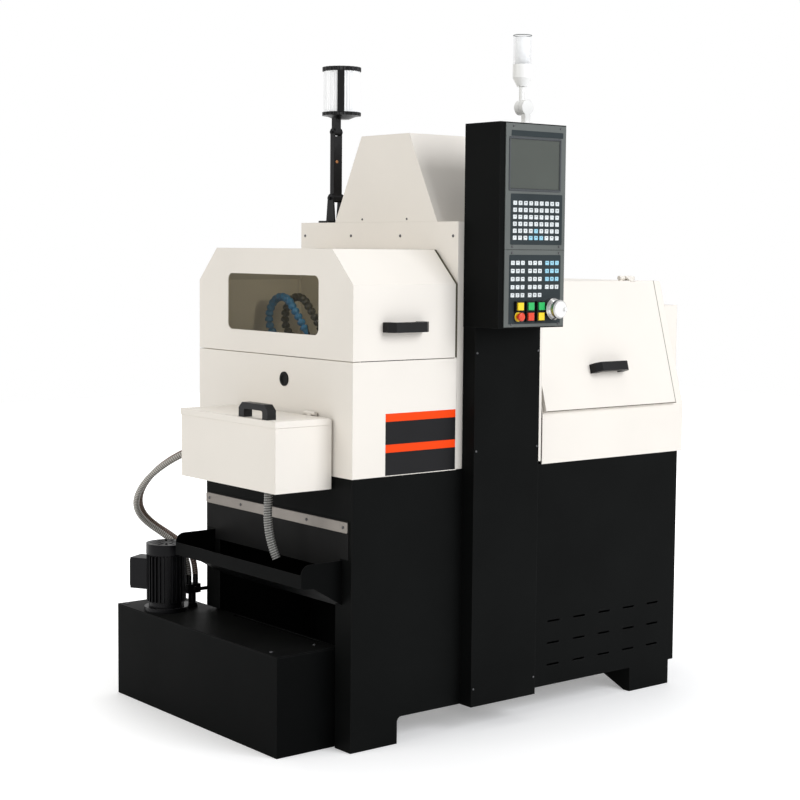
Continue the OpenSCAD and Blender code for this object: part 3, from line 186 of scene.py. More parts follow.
recipes = {
    "white_paint": dict(base=(0.80, 0.760, 0.700), rough=0.42, vary=0.025, vary_scale=3, grain=700,
                        bump=0.10, edge=(0.62, 0.57, 0.51), edge_amount=0.5, rough_vary=0.05, spec=0.22),
    "black_paint": dict(base=(0.0052, 0.0056, 0.0055), rough=0.44, vary=0.18, vary_scale=4, grain=800,
                        bump=0.16, edge=(0.06, 0.06, 0.06), edge_amount=0.8, dust=0.02, spec=0.02),
    # A darker copy of black_paint: painted shade on the coolant tank, its lid and the chip tray.
    "tank_black_painted_shade": dict(base=(0.0034, 0.0037, 0.0037), rough=0.44, vary=0.18, vary_scale=4, grain=800,
                       bump=0.16, edge=(0.05, 0.05, 0.05), edge_amount=0.8, dust=0.02, spec=0.015),
    "steel": dict(base=(0.50, 0.50, 0.49), rough=0.30, metal=1, brushed=(60, 900, 900), bump=0.06, vary=0.06,
                  edge=(0.75, 0.75, 0.74)),
    "strip_steel": dict(base=(0.23, 0.21, 0.19), rough=0.42, metal=0.85, brushed=(900, 25, 900), bump=0.08,
                        vary=0.10, edge=(0.42, 0.40, 0.37)),
    "dark_steel": dict(base=(0.10, 0.10, 0.105), rough=0.40, metal=0.9, vary=0.12, edge=(0.35, 0.35, 0.35)),
    "cast": dict(base=(0.16, 0.19, 0.19), rough=0.55, vary=0.12, grain=160, bump=0.35,
                 edge=(0.30, 0.31, 0.31)),
    "black_plastic": dict(base=(0.007, 0.007, 0.0075), rough=0.36, vary=0.15, grain=1300, bump=0.22,
                          edge=(0.05, 0.05, 0.05), spec=0.16),
    "pump_black": dict(base=(0.006, 0.006, 0.007), rough=0.36, vary=0.2, grain=500, bump=0.20,
                       edge=(0.05, 0.05, 0.05), dust=0.02, spec=0.10),
    # chrome's strong colour variation is painted reflection: bright and dark patches for the surroundings
    # mirrored in it.
    "chrome": dict(base=(0.50, 0.50, 0.49), rough=0.16, metal=1, vary=0.30, vary_scale=26,
                   brushed=(40, 900, 40), bump=0.03, edge=(0.8, 0.8, 0.8), rough_vary=0.06),
    "white_plastic": dict(base=(0.80, 0.80, 0.78), rough=0.34, vary=0.03, grain=900, bump=0.05,
                          edge=(0.70, 0.70, 0.68)),
    "lens_white": dict(base=(0.86, 0.87, 0.87), rough=0.30, vary=0.03, grain=300, bump=0.05, glow=0.08),
    "panel_grey": dict(base=(0.072, 0.082, 0.077), rough=0.44, vary=0.06, grain=1100, bump=0.12,
                       edge=(0.25, 0.26, 0.25)),
    "field": dict(base=(0.020, 0.028, 0.031), rough=0.42, vary=0.06, grain=1400, bump=0.08, spec=0.15),
    "screen": dict(base=(0.062, 0.070, 0.061), rough=0.30, vary=0.12, vary_scale=3, grain=60, bump=0.0,
                   spec=0.3, rough_vary=0.03),
    "key_white": dict(base=(0.68, 0.72, 0.73), rough=0.40, vary=0.04, grain=900, bump=0.05,
                      edge=(0.40, 0.44, 0.46)),
    "key_blue": dict(base=(0.28, 0.56, 0.70), rough=0.40, grain=900, bump=0.05, edge=(0.14, 0.30, 0.44)),
    "mark": dict(base=(0.03, 0.035, 0.04), rough=0.5, grain=900, bump=0.02),
    "yellow": dict(base=(0.88, 0.63, 0.015), rough=0.30, grain=900, bump=0.03, edge=(0.9, 0.65, 0.15)),
    "green": dict(base=(0.015, 0.43, 0.10), rough=0.30, grain=900, bump=0.03, edge=(0.1, 0.5, 0.2)),
    "red": dict(base=(0.70, 0.050, 0.014), rough=0.30, grain=900, bump=0.03, edge=(0.75, 0.15, 0.1)),
    "rubber": dict(base=(0.008, 0.008, 0.008), rough=0.62, vary=0.12, grain=700, bump=0.18, spec=0.08),
    # seam_shade: dark olive colour for painted shade in the gaps at the hood's edge and the door's edges.
    "seam_shade": dict(base=(0.075, 0.068, 0.045), rough=0.55, vary=0.12, grain=700, bump=0.15, spec=0.15),
    # window: the pane's dark olive, partly opaque film is painted shade over the interior seen through it.
    "window": dict(base=(0.030, 0.026, 0.012), rough=0.05, vary=0.01, grain=40, bump=0.0, alpha=0.24,
                   spec=0.2, rough_vary=0.02),
    "lamp_glass": dict(base=(0.86, 0.87, 0.88), rough=0.12, vary=0.03, grain=40, bump=0.0, alpha=0.85,
                       rough_vary=0.04, glow=0.16),
    "clear": dict(base=(0.80, 0.81, 0.83), rough=0.08, vary=0.02, grain=40, bump=0.0, alpha=0.22,
                  rough_vary=0.03),
    "reflector": dict(base=(0.82, 0.83, 0.84), rough=0.22, metal=1, vary=0.04, grain=300),
    "hose": dict(base=(0.17, 0.155, 0.13), rough=0.30, vary=0.12, vary_scale=40, grain=500, bump=0.05),
    "hose_inner": dict(base=(0.10, 0.055, 0.04), rough=0.32, vary=0.15, vary_scale=40, grain=500, bump=0.05),
    "hose_grey": dict(base=(0.060, 0.060, 0.055), rough=0.28, vary=0.15, vary_scale=50, grain=500, bump=0.05),
    "nozzle_blue": dict(base=(0.010, 0.200, 0.480), rough=0.30, vary=0.08, grain=700, bump=0.08),
    "brass": dict(base=(0.55, 0.25, 0.10), rough=0.30, metal=0.8, vary=0.08, grain=300, bump=0.03),
    "orange": dict(base=(0.86, 0.060, 0.005), rough=0.40, vary=0.04, grain=900, bump=0.03, spec=0.1),
    "label_dark": dict(base=(0.010, 0.010, 0.011), rough=0.38, vary=0.08, grain=900, bump=0.03, spec=0.1),
}
looks = {name: material(name, **recipe) for name, recipe in recipes.items()}


def add_wire(look, colour):
    """The wire in a hose's wall, drawn where the mesh's own rib value is high."""
    tree = look.node_tree
    surface = tree.nodes["Principled BSDF"]
    rib = add(tree, "Attribute", attribute_name="rib").outputs["Fac"]
    wall = surface.inputs["Base Color"].links[0].from_socket
    feed(tree, surface, {"Base Color": blend(tree, rib, wall, colour)})


add_wire(looks["hose"], (0.72, 0.71, 0.68))
add_wire(looks["hose_inner"], (0.42, 0.34, 0.28))
add_wire(looks["hose_grey"], (0.36, 0.36, 0.34))

# The outer nozzle chain stays blue; the inner one is black, and the block at the bulkhead is steel
outer_chain = at(198, 626, 0)
manifold_block = at(321, 0, 0)
inner_chain_colour = (0.012, 0.012, 0.013)
block_colour = (0.45, 0.45, 0.44)


def colour_nozzles(look):
    tree = look.node_tree
    surface = tree.nodes["Principled BSDF"]
    place = add(tree, "SeparateXYZ", {"Vector": add(tree, "TexCoord").outputs["Object"]}).outputs
    behind = calculate(tree, "GREATER_THAN", place["Y"], outer_chain.y)
    leftward = calculate(tree, "LESS_THAN", place["X"], outer_chain.x)
    outer = calculate(tree, "MAXIMUM", behind, leftward)
    block = calculate(tree, "GREATER_THAN", place["X"], manifold_block.x)
    chains = blend(tree, outer, inner_chain_colour, surface.inputs["Base Color"].links[0].from_socket)
    feed(tree, surface, {"Base Color": blend(tree, block, chains, block_colour)})


colour_nozzles(looks["nozzle_blue"])

# CAD nodes take the look of their slot, apart from these
# The coolant tank, its lid and the chip tray take the darker black, which is painted shade.
own_looks = {"apron_sheet": "rubber", "apron_strip": "strip_steel", "valve_lever": "black_plastic",
             "coolant_tank": "tank_black_painted_shade", "tank_lid": "tank_black_painted_shade", "chip_tray": "tank_black_painted_shade"}
for name, slot in slots.items():
    look = looks[own_looks.get(name, slot)]
    if not nodes[name].material_slots:
        nodes[name].data.materials.append(look)
    for material_slot in nodes[name].material_slots:
        material_slot.material = look


# Mesh helpers: a shape is a list of vertices and a list of faces
def piece(name, shape, look, body, smooth=False):
    verts, faces = shape
    data = bpy.data.meshes.new(name)
    data.from_pydata([tuple(v) for v in verts], [], faces)
    work = bmesh.new()
    work.from_mesh(data)
    bmesh.ops.recalc_face_normals(work, faces=work.faces)
    work.to_mesh(data)
    work.free()
    data.materials.append(looks[look])
    if smooth:
        for polygon in data.polygons:
            polygon.use_smooth = True
    made = bpy.data.objects.new(name, data)
    scene.collection.objects.link(made)
    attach(made, body)
    return made


def loft(rings, loop=False):
    """Quads between equal rings of points, capped at both ends, or joined last to first."""
    size, count = len(rings[0]), len(rings)
    verts = [point for ring in rings for point in ring]
    faces = []
    for i in range(count if loop else count - 1):
        j = (i + 1) % count
        for k in range(size):
            after = (k + 1) % size
            faces.append((i * size + k, i * size + after, j * size + after, j * size + k))
    if not loop:
        faces.append(tuple(range(size - 1, -1, -1)))
        faces.append(tuple(range((count - 1) * size, count * size)))
    return verts, faces


def gather(shapes):
    """Several shapes as one."""
    verts, faces = [], []
    for more_verts, more_faces in shapes:
        first = len(verts)
        verts += more_verts
        faces += [tuple(i + first for i in face) for face in more_faces]
    return verts, faces


def round_rect(w, h, r, steps):
    """Points round a rectangle with round corners."""
    right, top = w / 2 - r, h / 2 - r
    points = []
    for x, y, start in ((right, top, 0), (-right, top, 90), (-right, -top, 180), (right, -top, 270)):
        for i in range(steps + 1):
            angle = math.radians(start + 90 * i / steps)
            points.append((x + r * math.cos(angle), y + r * math.sin(angle)))
    return points


def pad_y(centre, w, h, r, root, top, bevel, steps=4):
    """A soft-edged pad that faces -Y, round a centre in X and Z."""
    rings = []
    for y, inset in ((root, 0), (top + bevel, 0), (top + 0.3 * bevel, 0.3 * bevel), (top, bevel)):
        outline = round_rect(w - 2 * inset, h - 2 * inset, r, steps)
        rings.append([at(centre[0] + x, y, centre[1] + z) for x, z in outline])
    return loft(rings)


def turned(axis, profile, sides=48, flutes=0, depth=0.0):
    """Rings round an upright axis, from radii and heights, waved where there are flutes."""
    rings = []
    for radius, z in profile:
        reach = [(angle, radius + depth * math.cos(flutes * angle)) for angle in turns(sides)]
        rings.append([at(axis.x + r * math.cos(a), axis.y + r * math.sin(a), z) for a, r in reach])
    return rings


# Hoses: one smooth route each, with the wire helix showing as ribs
hose_sides = 20
steps_per_point = 14
steps_per_rib = 5
rib_depth = 0.10


def spline(points, steps):
    """A cubic B-spline along the points, from the first to the last."""
    guides = [2 * points[0] - points[1]] + points + [2 * points[-1] - points[-2]]
    out = []
    for i in range(len(points) - 1):
        for k in range(steps):
            t, s = k / steps, 1 - k / steps
            out.append((s ** 3 * guides[i] + (3 * t ** 3 - 6 * t * t + 4) * guides[i + 1]
                        + (3 * s ** 3 - 6 * s * s + 4) * guides[i + 2] + t ** 3 * guides[i + 3]) / 6)
    return out + [points[-1]]


def resample(points, step):
    """Points at even distances along a line of points, and its length."""
    run = [0]
    for a, b in zip(points, points[1:]):
        run.append(run[-1] + (b - a).length)
    count = max(2, round(run[-1] / step))
    out, j = [], 0
    for i in range(count + 1):
        distance = run[-1] * i / count
        while j < len(points) - 2 and run[j + 1] < distance:
            j += 1
        share = (distance - run[j]) / max(1e-12, run[j + 1] - run[j])
        out.append(points[j].lerp(points[j + 1], min(1, share)))
    return out, run[-1]


def ribbed_hose(name, route, diameter, node, look, pitch):
    path, length = resample(spline([at(*p) for p in route], steps_per_point), pitch / (1000 * steps_per_rib))
    last = len(path) - 1
    side = (path[1] - path[0]).normalized().orthogonal().normalized()
    rings, ribs = [], []
    for i, centre in enumerate(path):
        ahead = (path[min(i + 1, last)] - path[max(i - 1, 0)]).normalized()
        side = (side - ahead * side.dot(ahead)).normalized()
        across = ahead.cross(side)
        along = 1000 * length * i / last
        ring = []
        for angle in turns(hose_sides):
            rib = max(0.0, math.cos(2 * math.pi * along / pitch - angle)) ** 2
            radius = diameter / 2000 * (1 - rib_depth + rib_depth * rib)
            ring.append(centre + radius * (math.cos(angle) * side + math.sin(angle) * across))
            ribs.append(rib)
        rings.append(ring)
    hose = piece(name, loft(rings), look, "machine", smooth=True)
    hose.data.attributes.new("rib", "FLOAT", "POINT").data.foreach_set("value", ribs)
    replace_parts(hose, node)


coolant_route = [(-34, 730, 354), (-35, 737, 404), (-48, 774, 439), (-73, 808, 467), (-111, 828, 496),
                 (-148, 822, 531), (-169, 799, 572), (-169, 768, 613), (-155, 737, 650), (-130, 706, 681),
                 (-98, 678, 707), (-56, 654, 727), (-6, 650, 730)]
return_route = [(-12, 730, 354), (-13, 737, 404), (-24, 776, 437), (-44, 813, 462), (-77, 841, 488),
                (-115, 846, 522), (-140, 829, 563), (-147, 801, 604), (-139, 769, 642), (-121, 737, 675),
                (-93, 707, 703), (-55, 681, 726), (-6, 676, 730)]
drain_route = [(-95, 235, 664), (-95, 235, 640), (-97, 236, 600), (-96, 234, 560), (-91, 226, 520),
               (-84, 214, 484)]
ribbed_hose("coolant_hose_ribbed", coolant_route, 18, "coolant_hose", "hose", 6.0)
ribbed_hose("return_hose_ribbed", return_route, 18, "return_hose", "hose_inner", 6.0)
ribbed_hose("drain_hose_ribbed", drain_route, 24, "drain_hose", "hose_grey", 6.5)

# Control panel: its pieces stand in front of its face, from a root to a top at these distances
panel_y = box("display_panel")[0].y
key_heights = (0.3, 1.9)
mark_heights = (1.8, 2.05)
field_heights = (0.02, 0.4)
strip_heights = (0.02, 0.38)


def on_panel(centre, w, h, r, heights, bevel, steps=4):
    return pad_y(centre, w, h, r, panel_y - heights[0], panel_y - heights[1], bevel, steps)


# Key pads: soft-edged caps in two colours, each with a dash, and most with a shorter dash below it
key_w, key_h, key_corner, key_bevel = 13, 11, 1.2, 0.7
upper_first, upper_pitch = (416, 1323), (18.8, 18)
upper_blue = ((3, 0), (4, 0), (5, 0), (4, 1))
lower_first, lower_pitch, group_pitch = (411, 1174), (17.6, 21), 61
mark_corner, mark_bevel = 0.3, 0.1
dash_rise, dash_h = 1.6, 1.5
short_dash_drop, short_dash_h, short_dash_share = 1.8, 1.2, 0.6
upper = [(upper_first[0] + upper_pitch[0] * i, upper_first[1] + upper_pitch[1] * j, (i, j) in upper_blue)
         for i in range(9) for j in range(6)]
lower = [(lower_first[0] + group_pitch * g + lower_pitch[0] * i, lower_first[1] + lower_pitch[1] * j,
          g == 2 and j > 1) for g in range(3) for i in range(3) for j in range(5) if g < 2 or j > 0]


def key_pads(wanted):
    return gather([on_panel((x, z), key_w, key_h, key_corner, key_heights, key_bevel)
                   for x, z, blue in upper + lower if blue == wanted])


def dash(x, z, w, h):
    return on_panel((x, z), w, h, mark_corner, mark_heights, mark_bevel, 1)


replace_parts(piece("keys_white", key_pads(False), "key_white", "machine"), "panel_keys")
piece("keys_blue", key_pads(True), "key_blue", "machine")
marks = []
for i, (x, z, blue) in enumerate(upper + lower):
    dash_w = 3 + i * 7 % 5
    marks.append(dash(x, z + dash_rise, dash_w, dash_h))
    if i % 3:
        marks.append(dash(x, z - short_dash_drop, dash_w * short_dash_share, short_dash_h))
piece("key_marks", gather(marks), "mark", "machine")

# Dark fields under the keys, the lower one carried down round the buttons in strips
buttons = [middle("push_button_%d" % i) for i in range(1, 6)]
columns = [button.x for button in buttons[:3]]
low_row = buttons[3].z
opening = 13.5
field_w, field_corner, field_bevel = 184, 3, 0.2
upper_field, upper_field_h = (493.5, 1371), 132
lower_field, lower_field_h = (491, 1218), 122
strip_low, strip_top, strip_corner, strip_bevel = 1099, 1160, 0.2, 0.02
strip_ends = [lower_field[0] - field_w / 2, *(x + s * opening for x in columns for s in (-1, 1)),
              lower_field[0] + field_w / 2]
strips = [(x0, x1, strip_top) for x0, x1 in zip(strip_ends[::2], strip_ends[1::2])]
strips += [(x - opening, x + opening, low_row - opening) for x in columns]
fields = [on_panel(centre, field_w, h, field_corner, field_heights, field_bevel)
          for centre, h in ((upper_field, upper_field_h), (lower_field, lower_field_h))]
for x0, x1, top in strips:
    centre = ((x0 + x1) / 2, (strip_low + top) / 2)
    fields.append(on_panel(centre, x1 - x0, top - strip_low, strip_corner, strip_heights, strip_bevel, 1))
piece("key_fields", gather(fields), "field", "machine")

# Button bezels: a square collar round each push-button, a flat square with a round hole at the stop button
bezel_w, bezel_corner, bezel_steps, bezel_root = 26.6, 0.8, 3, 0.02
bezel_section = ((bezel_root, 0), (7.9, 0), (8.3, 0.4), (8.3, 2.4), (bezel_root, 2.6))
stop_x, stop_z = columns[0], low_row
stop_hole, stop_plate = 13.02, 0.6
bezels = []
for button in buttons:
    rings = []
    for height, inset in bezel_section:
        outline = round_rect(bezel_w - 2 * inset, bezel_w - 2 * inset, bezel_corner, bezel_steps)
        rings.append([at(button.x + x, panel_y - height, button.z + z) for x, z in outline])
    bezels.append(loft(rings, loop=True))
square = round_rect(bezel_w, bezel_w, bezel_corner, bezel_steps)
hole = [(stop_hole * x / math.hypot(x, z), stop_hole * z / math.hypot(x, z)) for x, z in square]
plate_section = ((bezel_root, square), (stop_plate, square), (stop_plate, hole), (bezel_root, hole))
bezels.append(loft([[at(stop_x + x, panel_y - height, stop_z + z) for x, z in outline]
                    for height, outline in plate_section], loop=True))
piece("button_bezels", gather(bezels), "black_plastic", "machine")

# Screen frame, dark all round as painted shade of the recessed screen's edge, and header bar
screen = middle("lcd_screen")
screen_w, screen_h, screen_corner, screen_rim = 186, 140, 5, 6
screen_section = ((0, 0), (2, 1.2), (2, screen_rim - 1.5), (0, screen_rim))
header_z, header_h, header_corner = 1592, 15, 2
rings = []
for height, inset in screen_section:
    outline = round_rect(screen_w - 2 * inset, screen_h - 2 * inset, max(0.5, screen_corner - inset), 5)
    rings.append([at(screen.x + x, panel_y - height, screen.z + z) for x, z in outline])
piece("screen_shade_frame", loft(rings, loop=True), "mark", "machine")
header = on_panel((upper_field[0], header_z), field_w, header_h, header_corner, field_heights, field_bevel)
piece("header_bar", header, "field", "machine")

# Plain two-colour fields on the front of the enclosure
front_y = box("work_enclosure")[0].y
front_left, front_right = 106, 341
front_dark, front_whole = 59, 80
front_root, front_top, front_corner, front_bevel = 0.02, 0.35, 0.6, 0.1


def front_field(name, low, top, look):
    centre = ((front_left + front_right) / 2, (low + top) / 2)
    shape = pad_y(centre, front_right - front_left, top - low, front_corner, front_y - front_root,
                  front_y - front_top, front_bevel)
    piece(name, shape, look, "machine")


for i, low in enumerate((710, 790)):
    front_field("front_field_low_%d" % i, low, low + front_dark, "label_dark")
    front_field("front_field_top_%d" % i, low + front_dark, low + front_whole, "orange")

# Stop button: yellow backing ring
ring_section = ((6.4, 2.05), (6.4, 2.6), (12.4, 2.6), (13, 2.05))
rings = [[at(stop_x + r * math.cos(a), panel_y - height, stop_z + r * math.sin(a)) for a in turns(40)]
         for r, height in ring_section]
piece("stop_ring", loft(rings, loop=True), "yellow", "machine")

# Handwheel: knurled band round the disc, plain graduations on the dial's cone
wheel = middle("handwheel_base")
knurls = 60
band_section = ((23.9, 28, 0), (24.4, 28.4, 0.2), (24.4, 37.5, 0.2),
                (21.3, 40.8, 0), (20.7, 40.6, 0), (23.8, 37.4, 0))
cone_radius, cone_height = 29, 16
cone_narrowing, cone_rise = 6, 9
cone_out = (0.83, 0.55)
graduations = 50
tick_section = ((-0.02, -0.5), (0.2, -0.5), (0.2, 0.5), (-0.02, 0.5))
tick_start, tick_end, long_tick_end = 0.12, 0.55, 0.85


def wheel_at(radius, height, angle, aside=0.0):
    return at(wheel.x + radius * math.cos(angle) - aside * math.sin(angle), panel_y - height,
              wheel.z + radius * math.sin(angle) + aside * math.cos(angle))


def tick(angle, end):
    rings = []
    for share in (tick_start, end):
        radius, height = cone_radius - cone_narrowing * share, cone_height + cone_rise * share
        rings.append([wheel_at(radius + cone_out[0] * out, height + cone_out[1] * out, angle, aside)
                      for out, aside in tick_section])
    return loft(rings)


band = [[wheel_at(radius + depth * math.cos(knurls * a), height, a) for a in turns(4 * knurls)]
        for radius, height, depth in band_section]
piece("handwheel_band", loft(band, loop=True), "steel", "handwheel")
ticks = [tick(angle, tick_end if i % 5 else long_tick_end) for i, angle in enumerate(turns(graduations))]
piece("dial_ticks", gather(ticks), "mark", "machine")

# Work lamp: fluted lens round a bright reflector, and the arm's screw
lamp = middle("lamp_lens")
low, top = (corner.z for corner in box("lamp_lens"))
lens_radius, lens_gap, lens_flutes, flute_depth = 52.2, 0.2, 40, 0.8
lens_section = ((lens_radius, low + lens_gap), (lens_radius, top - lens_gap))
reflector_section = ((40, low + 1), (34, low + 30), (32, lamp.z), (34, top - 30), (40, top - 1))
reflector_sides, reflector_waves, wave_depth = 72, 12, 1.5
arm_screw_at, arm_screw_w, arm_screw_corner, arm_screw_bevel = (401, 1543), 9, 4.4, 0.6
arm_screw_root, arm_screw_top = 616.2, 614.4
lens = loft(turned(lamp, lens_section, 4 * lens_flutes, lens_flutes, flute_depth))
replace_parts(piece("lamp_lens_fluted", lens, "lamp_glass", "lamp_head"), "lamp_lens")
reflector = loft(turned(lamp, reflector_section, reflector_sides, reflector_waves, wave_depth))
piece("lamp_reflector", reflector, "reflector", "lamp_head", smooth=True)
arm_screw = pad_y(arm_screw_at, arm_screw_w, arm_screw_w, arm_screw_corner, arm_screw_root, arm_screw_top,
                  arm_screw_bevel)
piece("arm_screw", arm_screw, "brass", "lamp_arm")

# Membrane in the cable port
port_y, port_z, port_radius = 301, 945, 11.4
membrane_section = ((1.5, port_radius), (-0.6, port_radius), (-1.2, port_radius - 0.8))
membrane = [[at(x, port_y + r * math.cos(a), port_z + r * math.sin(a)) for a in turns(32)]
            for x, r in membrane_section]
piece("port_membrane", loft(membrane), "rubber", "machine")

# Signal lamp: clear outer tube with a dark rim round a white core
signal = middle("signal_lens")
low, top = (corner.z for corner in box("signal_lens"))
tube_section = ((24.5, low + 0.1), (24.5, top - 7), (23.5, top - 2.5), (21, top - 0.5), (1, top))
rim_section = ((23.6, top - 5), (24.9, top - 5.4), (24.9, top - 3.6), (23.4, top - 3.4))
core_section = ((19, low + 0.5), (19, top - 12), (17, top - 9), (1, top - 8))
tube = loft(turned(signal, tube_section))
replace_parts(piece("signal_lens_tube", tube, "clear", "signal_lamp", smooth=True), "signal_lens")
rim = loft(turned(signal, rim_section), loop=True)
piece("signal_rim", rim, "panel_grey", "signal_lamp", smooth=True)
core = loft(turned(signal, core_section))
piece("signal_core", core, "lens_white", "signal_lamp", smooth=True)

# Outline that hood and enclosure share: depth, top, and the slant between eaves and top
hood_depth, hood_top, slant = 724, box("hood_shell")[1].z, 90
eaves = hood_top - slant
mitre = math.tan(math.radians(22.5))


def along_x(x0, x1, inner, outer):
    """A strip from x0 to x1 between two lines of points in Y and Z."""
    return loft([[at(x0, *a), at(x1, *a), at(x1, *b), at(x0, *b)] for a, b in zip(inner, outer)])


# Sealing lip on the bulkhead where hood and enclosure close
bulkhead_x = box("bulkhead_housing")[0].x
lip_reach, lip_gap, lip_foot = 9, 0.1, 712
lip_outer, lip_inner = 5, 9


def lip_line(inset):
    cut = inset * mitre
    half = [(inset, lip_foot), (inset, eaves - cut), (slant + cut, hood_top - inset)]
    return half + [(hood_depth - y, z) for y, z in reversed(half)]


lip = along_x(bulkhead_x - lip_reach, bulkhead_x - lip_gap, lip_line(lip_outer), lip_line(lip_inner))
piece("bulkhead_lip", lip, "white_paint", "machine")

# Painted shade: a dark strip along the hood's edge beside the bulkhead, for the shadow in the seam
hood_edge = box("hood_shell")[1].x
seam_shade_w, seam_shade_foot = 5.5, 1008
seam_shade_root, seam_shade_top = -0.02, 0.6


def hood_line(out):
    corner = out * math.sqrt(0.5)
    return [(-out, seam_shade_foot), (-out, eaves + out * mitre), (slant - corner, hood_top + corner)]


hood_seam_strip = along_x(hood_edge - seam_shade_w, hood_edge, hood_line(seam_shade_root), hood_line(seam_shade_top))
piece("hood_seam_shade", hood_seam_strip, "seam_shade", "hood")

# Painted shade: dark strips along the right and lower edges of the sloped door, for the shadow in the gap round
# it
slope_run, slope_rise, slope_foot = 102, 363, 839
slope_length = math.hypot(slope_run, slope_rise)
slope_lean = math.atan2(slope_run, slope_rise)
door_left, door_right = (corner.x for corner in box("cabinet_door"))
door_shade_root, door_shade_top = 13.9, 14.4
side_shade_w, low_shade_start, low_shade_end, top_gap = 1.6, 3, 5.2, 2


def on_slope(x, along, out):
    return at(x, along * math.sin(slope_lean) - out * math.cos(slope_lean),
              slope_foot + along * math.cos(slope_lean) + out * math.sin(slope_lean))


def door_strip(x0, x1, start, end):
    section = ((x0, door_shade_root), (x1, door_shade_root), (x1, door_shade_top), (x0, door_shade_top))
    return loft([[on_slope(x, along, out) for x, out in section] for along in (start, end)])


door_shade_strips = [door_strip(door_right - side_shade_w, door_right, low_shade_end, slope_length - top_gap),
             door_strip(door_left, door_right, low_shade_start, low_shade_end)]
piece("door_gap_shade", gather(door_shade_strips), "seam_shade", "door")

# Bolted covers on the back and the right end, each with eight screws
cover_section = ((-0.2, 0), (1.2, 0), (1.6, 0.4))
cover_corner, screw_margin, screw_seat = 6, 13, 1.4
screw_section = ((0, 4.2), (1.6, 4.2), (2.4, 3.2), (2.4, 1.8), (1.0, 1.6))
base_end, base_back = box("base_cabinet")[1].x, box("base_cabinet")[1].y
cabinet_back = box("headstock_cabinet")[1].y
inlet, inlet_end = middle("bar_inlet_cover"), box("bar_inlet_cover")[1].x
rear_covers_z, rear_cover_w, rear_cover_h = 395, 420, 470
end_cover_y, end_cover_z, end_cover_w, end_cover_h = 343, 385, 420, 450
cabinet_cover_x, cabinet_cover_z, cabinet_cover_w, cabinet_cover_h = 945, 945, 420, 340
inlet_screws_w, inlet_screws_h, inlet_seat = 470, 240, -0.1


def on_back(x, y, z):
    """Places across, up and out from a point on a face that looks to +Y."""
    return lambda across, up, out: at(x + across, y + out, z + up)


def on_end(x, y, z):
    """The same on a face that looks to +X."""
    return lambda across, up, out: at(x + out, y + across, z + up)


def cover(name, place, w, h, look):
    rings = [[place(x, z, out) for x, z in round_rect(w - 2 * inset, h - 2 * inset, cover_corner, 3)]
             for out, inset in cover_section]
    piece(name, loft(rings), look, "machine")
    screws(name + "_screws", place, w - 2 * screw_margin, h - 2 * screw_margin, screw_seat)


def screws(name, place, w, h, seat):
    heads = []
    for x, z in ((i * w / 2, j * h / 2) for i in (-1, 0, 1) for j in (-1, 0, 1) if i or j):
        heads.append(loft([[place(x + r * math.cos(a), z + r * math.sin(a), seat + out) for a in turns(20)]
                           for out, r in screw_section]))
    piece(name, gather(heads), "dark_steel", "machine")


for side, x in (("left", 400), ("right", 900)):
    cover("rear_cover_" + side, on_back(x, base_back, rear_covers_z), rear_cover_w, rear_cover_h, "black_paint")
cover("end_cover", on_end(base_end, end_cover_y, end_cover_z), end_cover_w, end_cover_h, "black_paint")
cover("cabinet_rear_cover", on_back(cabinet_cover_x, cabinet_back, cabinet_cover_z), cabinet_cover_w,
      cabinet_cover_h, "white_paint")
screws("inlet_screws", on_end(inlet_end, inlet.y, inlet.z), inlet_screws_w, inlet_screws_h, inlet_seat)

# Painted shade: a dark backing sheet behind the louvres, for the shade inside the base
backing_centre, backing_w, backing_h, backing_corner, backing_bevel = (930, 191), 540, 216, 6, 1
backing_back, backing_front = 42, 36
louvre_shade_backing = pad_y(backing_centre, backing_w, backing_h, backing_corner, backing_back, backing_front, backing_bevel)
piece("louvre_shade_backing", louvre_shade_backing, "rubber", "machine")

# Floor, background and light, in metres of the row frame
floor_half, floor_gap = 9, 0.0005
shade_start, shade_end = 0.8, 2.2
shade_low, shade_high = 0.30, 0.95
world_light = 0.48
lamps = (
    ("key", (1.0, -4.6, 3.0), (0, 0, 0.9), 2.8, 174, (0.95, 0.965, 1)),
    ("side", (-4.6, 0.6, 2.6), (-0.3, 0, 0.9), 2.4, 72, (1, 0.985, 0.95)),
    ("top", (0.4, 0.6, 4.6), (0, 0, 1.0), 2.4, 40, (1, 1, 1)),
    ("inside", (-0.45, -0.10, 1.225), (-0.22, 0.18, 1.07), 0.05, 0.34, (1, 0.90, 0.62)),
)


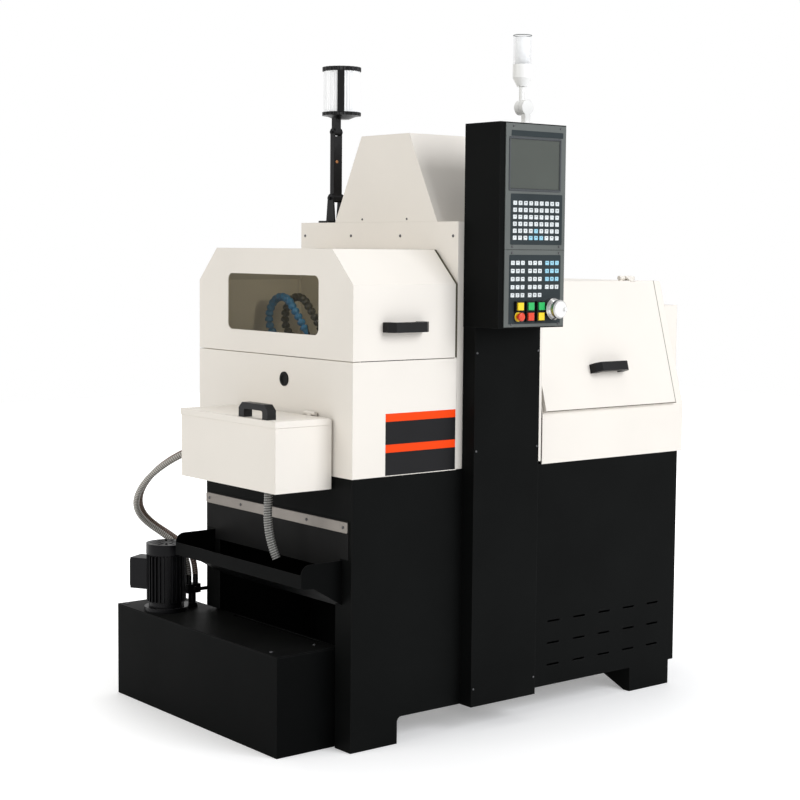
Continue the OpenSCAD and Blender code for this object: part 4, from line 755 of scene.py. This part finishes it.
def seen_background(tree):
    """1 for the rays that show the background: to the camera, off metal or through glass."""
    path = add(tree, "LightPath").outputs
    seen = calculate(tree, "MAXIMUM", path["Is Camera Ray"], path["Is Glossy Ray"])
    return calculate(tree, "MAXIMUM", seen, path["Is Transmission Ray"])


def make_floor():
    """A pale floor that keeps the shadow near the object and is white farther out."""
    data = bpy.data.meshes.new("floor")
    corners = [(x * floor_half, y * floor_half, 0) for x, y in ((-1, -1), (1, -1), (1, 1), (-1, 1))]
    data.from_pydata(corners, [], [(0, 1, 2, 3)])
    floor = bpy.data.objects.new("floor", data)
    scene.collection.objects.link(floor)
    floor.location.z = -floor_gap
    look = bpy.data.materials.new("floor")
    look.use_nodes = True
    tree = look.node_tree
    place = add(tree, "TexCoord").outputs["Object"]
    distance = add(tree, "VectorMath", {0: place}, operation="LENGTH").outputs["Value"]
    limits = {"Value": distance, "From Min": shade_start, "From Max": shade_end,
              "To Min": shade_low, "To Max": shade_high}
    lift = add(tree, "MapRange", limits).outputs["Result"]
    feed(tree, tree.nodes["Principled BSDF"], {
        "Base Color": (0.86, 0.86, 0.86, 1), "Roughness": 0.6, "Specular IOR Level": 0.15,
        "Emission Color": (1, 1, 1, 1),
        "Emission Strength": calculate(tree, "MULTIPLY", seen_background(tree), lift)})
    data.materials.append(look)


def make_world():
    world = bpy.data.worlds.new("world")
    scene.world = world
    world.use_nodes = True
    tree = world.node_tree
    limits = {"Value": seen_background(tree), "To Min": world_light, "To Max": 1.0}
    strength = add(tree, "MapRange", limits).outputs["Result"]
    feed(tree, tree.nodes["Background"], {"Color": (1, 1, 1, 1), "Strength": strength})


def make_lamp(name, place, target, size, power, colour):
    data = bpy.data.lights.new(name, "AREA")
    data.color = colour
    data.size = size
    data.energy = power
    made = bpy.data.objects.new(name, data)
    scene.collection.objects.link(made)
    made.location = place
    made.rotation_euler = (Vector(target) - Vector(place)).to_track_quat("-Z", "Y").to_euler()


make_floor()
make_world()
for values in lamps:
    make_lamp(*values)
